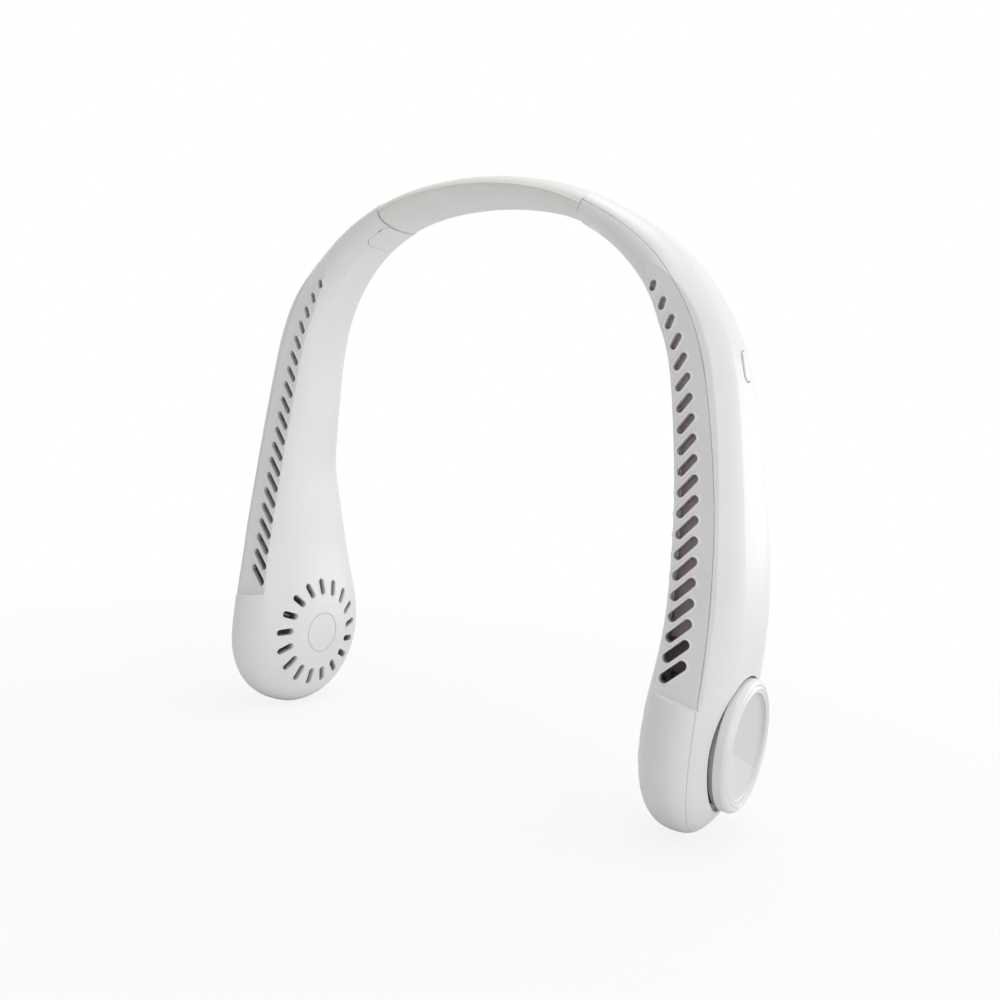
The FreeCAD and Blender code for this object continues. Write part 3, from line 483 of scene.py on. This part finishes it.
def parting_tongue(name, mirrored):
    """Thin tongue just inside the parting line: followed down the front, round the pod and up the back."""
    swing = np.linspace(0, math.pi / 2, TIP_STEPS)
    s = np.concatenate([np.linspace(TONGUE_START, S_POD, TONGUE_STEPS)[:-1],
                        S_POD + (TONGUE_END - S_POD) * np.sin(swing)])
    front, back, outer, inner = outline(s)
    d = np.clip((s - S_POD) / POD_RADIUS, 0, 1)
    half = (outer + inner) / 2 * (1 - d ** END_ROUNDNESS) ** (1 / END_ROUNDNESS)
    centre = (outer - inner) / 2
    fore, aft = front + TONGUE_GUESS, back - TONGUE_GUESS
    for _ in range(TONGUE_ROUNDS):
        n = parting_offset(s, fore)
        fore = (fore + front_depth(s, n, *beside(s, n))) / 2
        share = np.clip(np.abs(parting_offset(s, aft) - centre) / half, 0, 1)
        aft = (aft + (back + front) / 2 + (back - front) / 2 * np.sqrt(1 - d * d)
               * (1 - share ** BACK_ROUNDNESS) ** (1 / BACK_ROUNDNESS)) / 2
    line_s, line_y = np.concatenate([s, s[::-1]]), np.concatenate([fore, aft[::-1]])
    run_s, run_y = np.gradient(line_s), np.gradient(line_y)
    size = np.maximum(np.hypot(run_s, run_y), TINY_STEP)
    inset = np.array([TONGUE_INSETS[0], TONGUE_INSETS[1], TONGUE_INSETS[1], TONGUE_INSETS[0]])
    aside = PARTING_GAP / 2 + TONGUE_HALF * np.array([-1.0, -1.0, 1.0, 1.0])
    s = line_s[:, None] - (run_y / size)[:, None] * inset
    y = line_y[:, None] + (run_s / size)[:, None] * inset
    lean = along(LEAN, s) * (y - along(FRONT_Y, s))
    points = at(s, parting_offset(s, y) + lean + aside, y)
    rows, columns = points.shape[:2]
    faces = grid_quads(rows, columns).tolist() + [ring_face(0, columns), ring_face(rows - 1, columns)[::-1]]
    return make_piece(name, points, faces, mirrored)


def duct_shade_lining(name, mirrored):
    """Mauve lining close behind the outlet slots, its tone partly its colour and partly painted shade of the
    duct: the strip moved inwards by a depth that grows towards the pod.
    """
    s = np.linspace(*LINING_RANGE, LINING_STEPS[0])[:, None]
    low = np.maximum(LINING_SPAN[0], LINING_CLEAR - along(INNER_DEPTH, s))
    high = np.minimum(LINING_SPAN[1], along(OUTER_DEPTH, s) - LINING_CLEAR)
    across = low + (high - low) * np.linspace(0, 1, LINING_STEPS[1])[None, :]
    depth = np.interp(s, LINING_RANGE, LINING_DEPTHS)
    y = front_depth(s, across, *beside(s, across)) + depth
    n = np.concatenate([across, across[:, ::-1]], axis=1)
    points = at(s, n, np.concatenate([y, y[:, ::-1] + LINING_WALL], axis=1))
    rows, columns = points.shape[:2]
    faces = grid_quads(rows, columns).tolist() + [ring_face(0, columns), ring_face(rows - 1, columns)[::-1]]
    return make_piece(name, points, faces, mirrored)


def intake_ring(name, mirrored):
    """Shallow floor of the round line in the intake: a square profile turned about the pod's axis."""
    turn = np.linspace(0, 2 * math.pi, RING_TURNS, endpoint=False)[:, None]
    s = S_POD - INTAKE_RING[:, 0] * np.sin(turn)
    y = POD_Y + INTAKE_RING[:, 0] * np.cos(turn)
    points = at(s, neck_side(s, y) + INTAKE_RING[:, 1], y)[None]
    return make_piece(name, points, ring_quads(*points.shape[:3]), mirrored)


def slot_lip(length, width, cap, side):
    """Places along and across a slot: its lip profile carried round two half circles joined by lines."""
    half = np.broadcast_to((length - width) / 2, np.shape(length))[..., None]
    r = np.broadcast_to(width / 2, np.shape(length))[..., None]
    turn = np.linspace(-math.pi / 2, math.pi / 2, cap + 1)
    run = np.linspace(1, -1, side + 1)[1:-1]
    c, v = np.cos(turn), np.sin(turn)
    a = np.concatenate([half + r * c, half * run, -half - r * c, -half * run], -1)
    b = np.concatenate([r * v + 0 * half, r + 0 * run * half, -r * v + 0 * half, -r + 0 * run * half], -1)
    out_a = np.concatenate([c, 0 * run, -c, 0 * run])
    out_b = np.concatenate([v, 1 + 0 * run, -v, -1 + 0 * run])
    return a[..., None] + out_a[:, None] * LIP_OUT, b[..., None] + out_b[:, None] * LIP_OUT


def outlet_lips(name, mirrored):
    """Rounded lips of the graded outlet slots: the lip carried round each tilted slot on the strip."""
    u = np.linspace(0, 1, SLOT_COUNT)
    centre = SLOT_RANGE[0] + (SLOT_RANGE[1] - SLOT_RANGE[0]) * u
    length = SLOT_LENGTHS[1] - (SLOT_LENGTHS[1] - SLOT_LENGTHS[0]) * (1 - u) ** 2
    width = SLOT_WIDTHS[0] + (SLOT_WIDTHS[1] - SLOT_WIDTHS[0]) * u
    a, c = slot_lip(length, width, OUTLET_CAP_STEPS, SLOT_SIDE_STEPS)
    n = a * math.cos(SLOT_TILT) - c * math.sin(SLOT_TILT)
    up = a * math.sin(SLOT_TILT) + c * math.cos(SLOT_TILT)
    x0, z0, angle = (v[:, None, None] for v in spine(centre))
    x = x0 + n * np.sin(angle) - up * np.cos(angle)
    z = z0 + n * np.cos(angle) + up * np.sin(angle)
    s = centre[:, None, None] - up
    y = front_depth(s, n, x, z)
    aside = front_depth(s, n + SLOPE_PROBE, x + SLOPE_PROBE * np.sin(angle), z + SLOPE_PROBE * np.cos(angle))
    flat = 1 / (1 + ((aside - y) / SLOPE_PROBE) ** 2)
    y = y - LIP_RISE * np.where(LIP_RISE > 0, flat ** LIP_FADES[0], flat ** LIP_FADES[1])
    points = np.stack([x, y, z], -1)
    return make_piece(name, points, ring_quads(*points.shape[:3]), mirrored)


def intake_lips(name, mirrored):
    """Rounded lips of the ring of intake slots: the lip carried round each slanted slot on the dome."""
    middle = sum(INTAKE_RADII) / 2
    length = np.array(INTAKE_RADII[1] - INTAKE_RADII[0])
    a, c = slot_lip(length, np.array(INTAKE_WIDTH), INTAKE_CAP_STEPS, SLOT_SIDE_STEPS)
    back = -a * math.sin(INTAKE_SWIRL) - c * math.cos(INTAKE_SWIRL)
    up = middle + a * math.cos(INTAKE_SWIRL) - c * math.sin(INTAKE_SWIRL)
    turn = (2 * math.pi * np.arange(INTAKE_COUNT) / INTAKE_COUNT)[:, None, None]
    y = POD_Y + back * np.cos(turn) - up * np.sin(turn)
    s = S_POD - (back * np.sin(turn) + up * np.cos(turn))
    points = at(s, neck_side(s, y) - np.where(LIP_RISE > 0, INTAKE_LIP_SHARE, 1.0) * LIP_RISE, y)
    return make_piece(name, points, ring_quads(*points.shape[:3])[:, ::-1], mirrored)


def sleeve_front(s):
    """Front edge of the sleeve: level over the neck, easing back to the arm's front at the joint."""
    u = np.clip(s / SLEEVE_END, 0, 1) ** 3
    return (1 - u) * (FRONT_Y[0] + SLEEVE_INSET) + u * rounded_tip(np.array(S_JOINT))


def sleeve_section(s, turn, inset):
    """Sleeve section in polar form, (|cos|^m + |sin|^m)^(-1/m), its front drawn to an edge halfway up."""
    front, back = sleeve_front(s) + inset, along(BACK_Y, s) - SLEEVE_INSET - inset
    outer = along(OUTER_DEPTH, s) - SLEEVE_INSET - inset
    inner = along(INNER_DEPTH, s) - SLEEVE_INSET - inset
    middle = (along(BACK_Y, s) + along(FRONT_Y, s)) / 2
    c, v = np.cos(turn), np.sin(turn)
    m = np.where(v >= 0, BACK_ROUNDNESS, np.interp(s, (0, SLEEVE_END), SLEEVE_ROUNDNESS))
    r = (np.abs(c) ** m + np.abs(v) ** m) ** (-1 / m)
    n = (outer + inner) / 2 * r * c
    y = middle + np.where(v >= 0, back - middle, middle - front) * r * v
    y = y + SLEEVE_EDGE * (1 - (s / SLEEVE_END) ** 4) * np.abs(n) * np.maximum(0.0, -v * r)
    return at(s, (outer - inner) / 2 + n + along(LEAN, s) * (y - front), y)


def sleeve_half(name, mirrored):
    """Half of the soft neck sleeve: its section from the crown to the joint, with the end rolled in."""
    turn = np.linspace(-math.pi / 2, 3 * math.pi / 2, SLEEVE_TURNS, endpoint=False)
    roll = np.linspace(0, math.pi / 2, LIP_STEPS)[1:]
    start = SLEEVE_END - SLEEVE_LIP
    s = np.concatenate([np.linspace(0, start, SLEEVE_STEPS), SLEEVE_END - SLEEVE_LIP * (1 - np.sin(roll)),
                        np.full(len(SLEEVE_CAP_INSETS), SLEEVE_END)])
    inset = np.concatenate([np.zeros(SLEEVE_STEPS), SLEEVE_LIP * (1 - np.cos(roll)), SLEEVE_CAP_INSETS])
    points = sleeve_section(s[:, None], turn[None, :], inset[:, None])
    rows, columns = points.shape[:2]
    faces = grid_quads(rows, columns)[:, ::-1].tolist()
    faces += [ring_face(0, columns)[::-1], ring_face(rows - 1, columns)]
    piece = make_piece(name, points, faces, mirrored)
    ends = np.zeros(len(piece.data.edges) * 2, dtype=np.int32)
    piece.data.edges.foreach_get("vertices", ends)
    ends = ends.reshape(-1, 2)
    sharp = (ends.max(axis=1) < columns) | (ends.min(axis=1) >= (rows - 1) * columns)
    piece.data.edges.foreach_set("use_edge_sharp", sharp)
    return piece


def sleeve_seam(name, mirrored):
    """Fine raised line along the sleeve's front edge: a small circle carried from the crown to the joint."""
    s = np.linspace(0, SLEEVE_END - SLEEVE_LIP, SLEEVE_STEPS)[:, None]
    turn = np.linspace(0, 2 * math.pi, SEAM_TURNS, endpoint=False)[None, :]
    edge = sleeve_section(s, np.full((1, 1), -math.pi / 2), 0.0)
    _, _, angle = spine(s)
    n, y = SEAM_RADIUS * np.cos(turn), SEAM_RADIUS * np.sin(turn) + SEAM_SINK
    points = edge + np.stack([n * np.sin(angle), y + 0 * angle, n * np.cos(angle)], axis=-1)
    rows, columns = points.shape[:2]
    faces = grid_quads(rows, columns)[:, ::-1].tolist()
    faces += [ring_face(0, columns)[::-1], ring_face(rows - 1, columns)]
    return make_piece(name, points, faces, mirrored)


def add_node(tree, kind, values=None, **settings):
    """Shader node with its settings and the values of its unlinked inputs."""
    node = tree.nodes.new("ShaderNode" + kind)
    for key, value in settings.items():
        setattr(node, key, value)
    for key, value in (values or {}).items():
        node.inputs[key].default_value = value
    return node


def map_range(tree, source, target, **settings):
    """Map range node from one pair of values to another."""
    values = {"From Min": source[0], "From Max": source[1], "To Min": target[0], "To Max": target[1]}
    return add_node(tree, "MapRange", values, **settings)


def new_group(name, inputs, outputs):
    """Shader node group with named sockets."""
    group = bpy.data.node_groups.new(name, "ShaderNodeTree")
    for label, kind, value in inputs:
        socket = group.interface.new_socket(label, in_out="INPUT", socket_type=kind)
        socket.default_value = value
    for label, kind in outputs:
        group.interface.new_socket(label, in_out="OUTPUT", socket_type=kind)
    return group, group.nodes.new("NodeGroupInput"), group.nodes.new("NodeGroupOutput")


def moulded_finish_group():
    """Moulded plastic: faint cloudy tone, fine spark-eroded grain and a slightly uneven gloss."""
    group, source, sink = new_group(
        "moulded_finish",
        [("Tone", "NodeSocketColor", (0.8, 0.8, 0.8, 1)), ("Shade", "NodeSocketColor", (0.7, 0.7, 0.7, 1)),
         ("Gloss", "NodeSocketFloat", 0.4), ("Grain size", "NodeSocketFloat", GRAIN_SIZE)],
        [("Color", "NodeSocketColor"), ("Roughness", "NodeSocketFloat"), ("Height", "NodeSocketFloat")])
    link = group.links.new
    place = add_node(group, "TexCoord")
    cloud = add_node(group, "TexNoise", {"Scale": CLOUD_SCALE, "Detail": CLOUD_DETAIL})
    grain = add_node(group, "TexNoise", {"Detail": GRAIN_DETAIL})
    spread = map_range(group, CLOUD_RANGE, (0.0, 1.0))
    blend = add_node(group, "Mix", data_type="RGBA")
    lift = add_node(group, "Math", {1: GRAIN_GLOSS}, operation="MULTIPLY_ADD")
    link(place.outputs["Object"], cloud.inputs["Vector"])
    link(place.outputs["Object"], grain.inputs["Vector"])
    link(source.outputs["Grain size"], grain.inputs["Scale"])
    link(cloud.outputs["Fac"], spread.inputs["Value"])
    link(spread.outputs["Result"], blend.inputs["Factor"])
    link(source.outputs["Tone"], blend.inputs["A"])
    link(source.outputs["Shade"], blend.inputs["B"])
    link(blend.outputs["Result"], sink.inputs["Color"])
    link(grain.outputs["Fac"], lift.inputs[0])
    link(source.outputs["Gloss"], lift.inputs[2])
    link(lift.outputs["Value"], sink.inputs["Roughness"])
    link(grain.outputs["Fac"], sink.inputs["Height"])
    return group


FINISH = moulded_finish_group()


def finish_material(name, tone, shade, gloss, grain=GRAIN_SIZE, metallic=0.0):
    """Material that places the moulded finish with its own tones, gloss and grain."""
    material = bpy.data.materials.new(name)
    material.use_nodes = True
    tree = material.node_tree
    surface = tree.nodes["Principled BSDF"]
    surface.inputs["Metallic"].default_value = metallic
    values = {"Tone": (*tone, 1), "Shade": (*shade, 1), "Gloss": gloss, "Grain size": grain}
    made = add_node(tree, "Group", values, node_tree=FINISH)
    relief = add_node(tree, "Bump", {"Strength": GRAIN_BUMP, "Distance": GRAIN_DEPTH})
    tree.links.new(made.outputs["Color"], surface.inputs["Base Color"])
    tree.links.new(made.outputs["Roughness"], surface.inputs["Roughness"])
    tree.links.new(made.outputs["Height"], relief.inputs["Height"])
    tree.links.new(relief.outputs["Normal"], surface.inputs["Normal"])
    return material


MATERIALS = {
    "white_shell": finish_material("white_shell", (0.80, 0.80, 0.80), (0.775, 0.775, 0.775), 0.34),
    "white_disc": finish_material("white_disc", (0.80, 0.80, 0.80), (0.78, 0.78, 0.78), 0.28),
    "soft_sleeve": finish_material("soft_sleeve", (0.79, 0.785, 0.77), (0.76, 0.755, 0.74), 0.52, 1800.0),
    "white_button": finish_material("white_button", (0.80, 0.80, 0.80), (0.78, 0.78, 0.78), 0.30),
    # Mauve of the duct parts: partly their colour, partly painted shade of the unlit duct.
    "dark_inside": finish_material("dark_inside", (0.62, 0.49, 0.52), (0.55, 0.43, 0.46), 0.5),
    "wheel_plastic": finish_material("wheel_plastic", (0.55, 0.54, 0.53), (0.48, 0.47, 0.46), 0.35),
    "board": finish_material("board", (0.02, 0.16, 0.07), (0.015, 0.11, 0.05), 0.4),
    "steel": finish_material("steel", (0.62, 0.62, 0.63), (0.55, 0.55, 0.56), 0.25, metallic=1.0),
    "dark_iron": finish_material("dark_iron", (0.16, 0.16, 0.17), (0.12, 0.12, 0.13), 0.4, metallic=1.0),
    "copper": finish_material("copper", (0.75, 0.33, 0.16), (0.65, 0.26, 0.12), 0.3, metallic=1.0),
    "bronze": finish_material("bronze", (0.55, 0.38, 0.18), (0.45, 0.31, 0.15), 0.35, metallic=1.0),
    "cell_foil": finish_material("cell_foil", (0.50, 0.51, 0.53), (0.42, 0.43, 0.45), 0.35, metallic=0.6),
    "cable_jacket": finish_material("cable_jacket", (0.05, 0.05, 0.055), (0.035, 0.035, 0.04), 0.5),
    "switch_black": finish_material("switch_black", (0.03, 0.03, 0.03), (0.02, 0.02, 0.02), 0.45),
}
SEAM_MATERIAL = finish_material("sleeve_seam", (0.76, 0.745, 0.68), (0.72, 0.705, 0.64), 0.55)


def mask_edges(edge):
    """Start and end in m of a mask's step at a distance in mm."""
    return (edge - MASK_SOFTNESS) * MM, (edge + MASK_SOFTNESS) * MM


def disc_shade_material():
    """White disc with painted shade on its face, lighter past the fold line, where the tilted part takes more
    light: masks of the distance from the pod's axis and of the fold's side.
    """
    material = finish_material("white_disc_painted_shade", (0.80, 0.80, 0.80), (0.785, 0.785, 0.785), 0.28)
    tree = material.node_tree
    made = next(n for n in tree.nodes if n.type == "GROUP")
    surface = tree.nodes["Principled BSDF"]
    centre = at(np.array(S_POD), 0.0, POD_Y) * MM
    fold = (0.0, -math.sin(FOLD_TURN), math.cos(FOLD_TURN))
    place = add_node(tree, "TexCoord")
    shift = add_node(tree, "VectorMath", {1: (0.0, centre[1], centre[2])}, operation="SUBTRACT")
    flat = add_node(tree, "VectorMath", {1: (0.0, 1.0, 1.0)}, operation="MULTIPLY")
    reach = add_node(tree, "VectorMath", operation="LENGTH")
    side = add_node(tree, "VectorMath", {1: fold}, operation="DOT_PRODUCT")
    mask = map_range(tree, mask_edges(DISC_FACE_RADIUS), (1.0, 0.0))
    # Painted shade of the face, lighter past the fold line.
    shade = map_range(tree, mask_edges(FOLD_OFFSET), (FACE_PAINTED_SHADE, FOLD_PAINTED_SHADE))
    painted_shade = add_node(tree, "Mix", data_type="RGBA", blend_type="MULTIPLY")
    tree.links.new(place.outputs["Object"], shift.inputs[0])
    tree.links.new(shift.outputs["Vector"], flat.inputs[0])
    tree.links.new(flat.outputs["Vector"], reach.inputs[0])
    tree.links.new(reach.outputs["Value"], mask.inputs["Value"])
    tree.links.new(mask.outputs["Result"], painted_shade.inputs["Factor"])
    tree.links.new(shift.outputs["Vector"], side.inputs[0])
    tree.links.new(side.outputs["Value"], shade.inputs["Value"])
    tree.links.new(made.outputs["Color"], painted_shade.inputs["A"])
    tree.links.new(shade.outputs["Result"], painted_shade.inputs["B"])
    tree.links.new(painted_shade.outputs["Result"], surface.inputs["Base Color"])
    return material


DISC_SHADE_MATERIAL = disc_shade_material()


def dress(piece, slot_name, material=None):
    """Gives a piece the material of a slot, or a variant of it."""
    piece.data.materials.append(material or MATERIALS[slot_name])


def bend(piece):
    """Bakes the place of a piece of the neck section into its mesh; the crown and the joint's end are worked
    out but not used.
    """
    crown = at(np.array(0.0), 0.0, 0.0) * MM
    joint_end = at(np.array(SLEEVE_END), 0.0, 0.0) * MM
    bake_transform(piece)


def neck_pieces(side, mirrored):
    """Halves of the sleeve, its fine line, the strip and the cable on one arm's side."""
    half = sleeve_half(side + "_sleeve_half", mirrored)
    dress(half, "soft_sleeve")
    bend(half)
    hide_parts("neck_sleeve")
    seam = sleeve_seam(side + "_sleeve_seam", mirrored)
    dress(seam, "soft_sleeve", SEAM_MATERIAL)
    bend(seam)
    form = half_form(side + "_half_form", mirrored)
    keep_normals(form.data)
    cores = (("spring_strip", "_spring_half", "steel"), ("link_cable", "_cable_half", "cable_jacket"))
    for core_name, ending, slot_name in cores:
        core = kept_inside(side + ending, nodes[core_name], form)
        dress(core, slot_name)
        bend(core)
        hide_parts(core_name)
    bpy.data.objects.remove(form)


def arm_pieces(side, mirrored):
    """Shells, lid and disc of one arm with soft edges, the disc with painted shade on its face, then the
    lips, ring, tongue and the lining, partly painted shade, on them.
    """
    shells = ("_inner_shell", "_outer_cover", "_screw_cover")
    trims = ((rounding_form, "_rounding_form", shells, "white_shell", None),
             # The disc takes the material with painted shade on its face.
             (disc_form, "_disc_form", ("_intake_disc",), "white_disc", DISC_SHADE_MATERIAL))
    for make_form, form_ending, endings, slot_name, material in trims:
        form = make_form(side + form_ending, mirrored)
        keep_normals(form.data)
        for ending in endings:
            shell = kept_inside(side + "_soft" + ending, nodes[side + ending], form)
            dress(shell, slot_name, material)
            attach(shell, side + "_arm")
            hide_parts(side + ending)
        bpy.data.objects.remove(form)
    details = ((outlet_lips, "_outlet_lips", "white_shell"), (intake_lips, "_intake_lips", "white_shell"),
               (intake_ring, "_intake_ring", "white_shell"),
               (parting_tongue, "_parting_tongue", "white_shell"),
               # The lining's mauve is partly painted shade of the duct.
               (duct_shade_lining, "_duct_shade_lining", "dark_inside"))
    for make, ending, slot_name in details:
        detail = make(side + ending, mirrored)
        dress(detail, slot_name)
        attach(detail, side + "_arm")


def studio_floor():
    """Pale floor that keeps the object's shadow and fades to white for the camera."""
    corners = np.array([[-1.0, -1.0], [1.0, -1.0], [1.0, 1.0], [-1.0, 1.0]]) * FLOOR_HALF
    points = np.column_stack([corners, np.full(len(corners), cad_low[2] - FLOOR_DROP)])
    floor = make_piece("studio_floor", points / MM, [[0, 1, 2, 3]])
    material = bpy.data.materials.new("studio_floor")
    material.use_nodes = True
    tree = material.node_tree
    surface = tree.nodes["Principled BSDF"]
    surface.inputs["Base Color"].default_value = (FLOOR_TONE, FLOOR_TONE, FLOOR_TONE, 1)
    surface.inputs["Roughness"].default_value = FLOOR_ROUGHNESS
    glow = add_node(tree, "Emission")
    place = add_node(tree, "TexCoord")
    reach = add_node(tree, "VectorMath", operation="LENGTH")
    fade = map_range(tree, FLOOR_FADE, FLOOR_WHITE, interpolation_type="SMOOTHSTEP")
    path = add_node(tree, "LightPath")
    share = add_node(tree, "Math", operation="MULTIPLY")
    mix = add_node(tree, "MixShader")
    tree.links.new(place.outputs["Object"], reach.inputs[0])
    tree.links.new(reach.outputs["Value"], fade.inputs["Value"])
    tree.links.new(path.outputs["Is Camera Ray"], share.inputs[0])
    tree.links.new(fade.outputs["Result"], share.inputs[1])
    tree.links.new(share.outputs["Value"], mix.inputs["Fac"])
    tree.links.new(surface.outputs["BSDF"], mix.inputs[1])
    tree.links.new(glow.outputs["Emission"], mix.inputs[2])
    tree.links.new(mix.outputs["Shader"], tree.nodes["Material Output"].inputs["Surface"])
    floor.data.materials.append(material)


def studio_world():
    """Soft even light, seen as plain white by the camera and in reflections."""
    world = bpy.data.worlds.new("studio_world")
    bpy.context.scene.world = world
    world.use_nodes = True
    tree = world.node_tree
    soft = tree.nodes["Background"]
    soft.inputs["Color"].default_value = (1, 1, 1, 1)
    soft.inputs["Strength"].default_value = WORLD_STRENGTH
    white = add_node(tree, "Background", {"Color": (1, 1, 1, 1), "Strength": 1.0})
    path = add_node(tree, "LightPath")
    seen = add_node(tree, "Math", operation="MAXIMUM")
    through = add_node(tree, "Math", operation="MAXIMUM")
    mix = add_node(tree, "MixShader")
    tree.links.new(path.outputs["Is Camera Ray"], seen.inputs[0])
    tree.links.new(path.outputs["Is Glossy Ray"], seen.inputs[1])
    tree.links.new(seen.outputs["Value"], through.inputs[0])
    tree.links.new(path.outputs["Is Transmission Ray"], through.inputs[1])
    tree.links.new(through.outputs["Value"], mix.inputs["Fac"])
    tree.links.new(soft.outputs["Background"], mix.inputs[1])
    tree.links.new(white.outputs["Background"], mix.inputs[2])
    tree.links.new(mix.outputs["Shader"], tree.nodes["World Output"].inputs["Surface"])


def studio_lamps():
    """Soft round lamps, all turned to the object."""
    for name, place, size, power in LAMPS:
        data = bpy.data.lights.new(name, "AREA")
        data.shape = "DISK"
        data.size = size
        data.energy = power
        lamp = bpy.data.objects.new(name, data)
        lamp.location = place
        lamp.rotation_mode = "QUATERNION"
        lamp.rotation_quaternion = (Vector(LAMP_AIM) - Vector(place)).to_track_quat("-Z", "Y")
        bpy.context.scene.collection.objects.link(lamp)


def photo_camera():
    """Camera at the photograph's place: turned, raised and tilted about its aim."""
    a, e, r = CAMERA_TURN, CAMERA_HEIGHT, CAMERA_TILT
    back = Vector((math.sin(a) * math.cos(e), -math.cos(a) * math.cos(e), math.sin(e)))
    right = Vector((math.cos(a), math.sin(a), 0))
    up = back.cross(right)
    across = math.cos(r) * right + math.sin(r) * up
    rise = -math.sin(r) * right + math.cos(r) * up
    place = across * CAMERA_AIM[0] + rise * CAMERA_AIM[1] + back * CAMERA_DISTANCE
    place = (place + Vector((0, CAMERA_ORIGIN_Y, 0))) * MM
    data = bpy.data.cameras.new("photo_camera")
    data.sensor_width = CAMERA_SENSOR
    data.lens = CAMERA_LENS
    data.clip_start = CAMERA_NEAR * MM
    camera = bpy.data.objects.new("photo_camera", data)
    camera.matrix_world = Matrix(((across[0], rise[0], back[0], place[0]),
                                  (across[1], rise[1], back[1], place[1]),
                                  (across[2], rise[2], back[2], place[2]),
                                  (0, 0, 0, 1)))
    bpy.context.scene.collection.objects.link(camera)
    bpy.context.scene.camera = camera
    bpy.context.scene.view_settings.view_transform = "Standard"


for node in nodes.values():
    node.data.materials[0] = MATERIALS[node.data.materials[0].name.split(".")[0]]
for side, mirrored in SIDES:
    neck_pieces(side, mirrored)
    arm_pieces(side, mirrored)
studio_floor()
studio_world()
studio_lamps()
photo_camera()
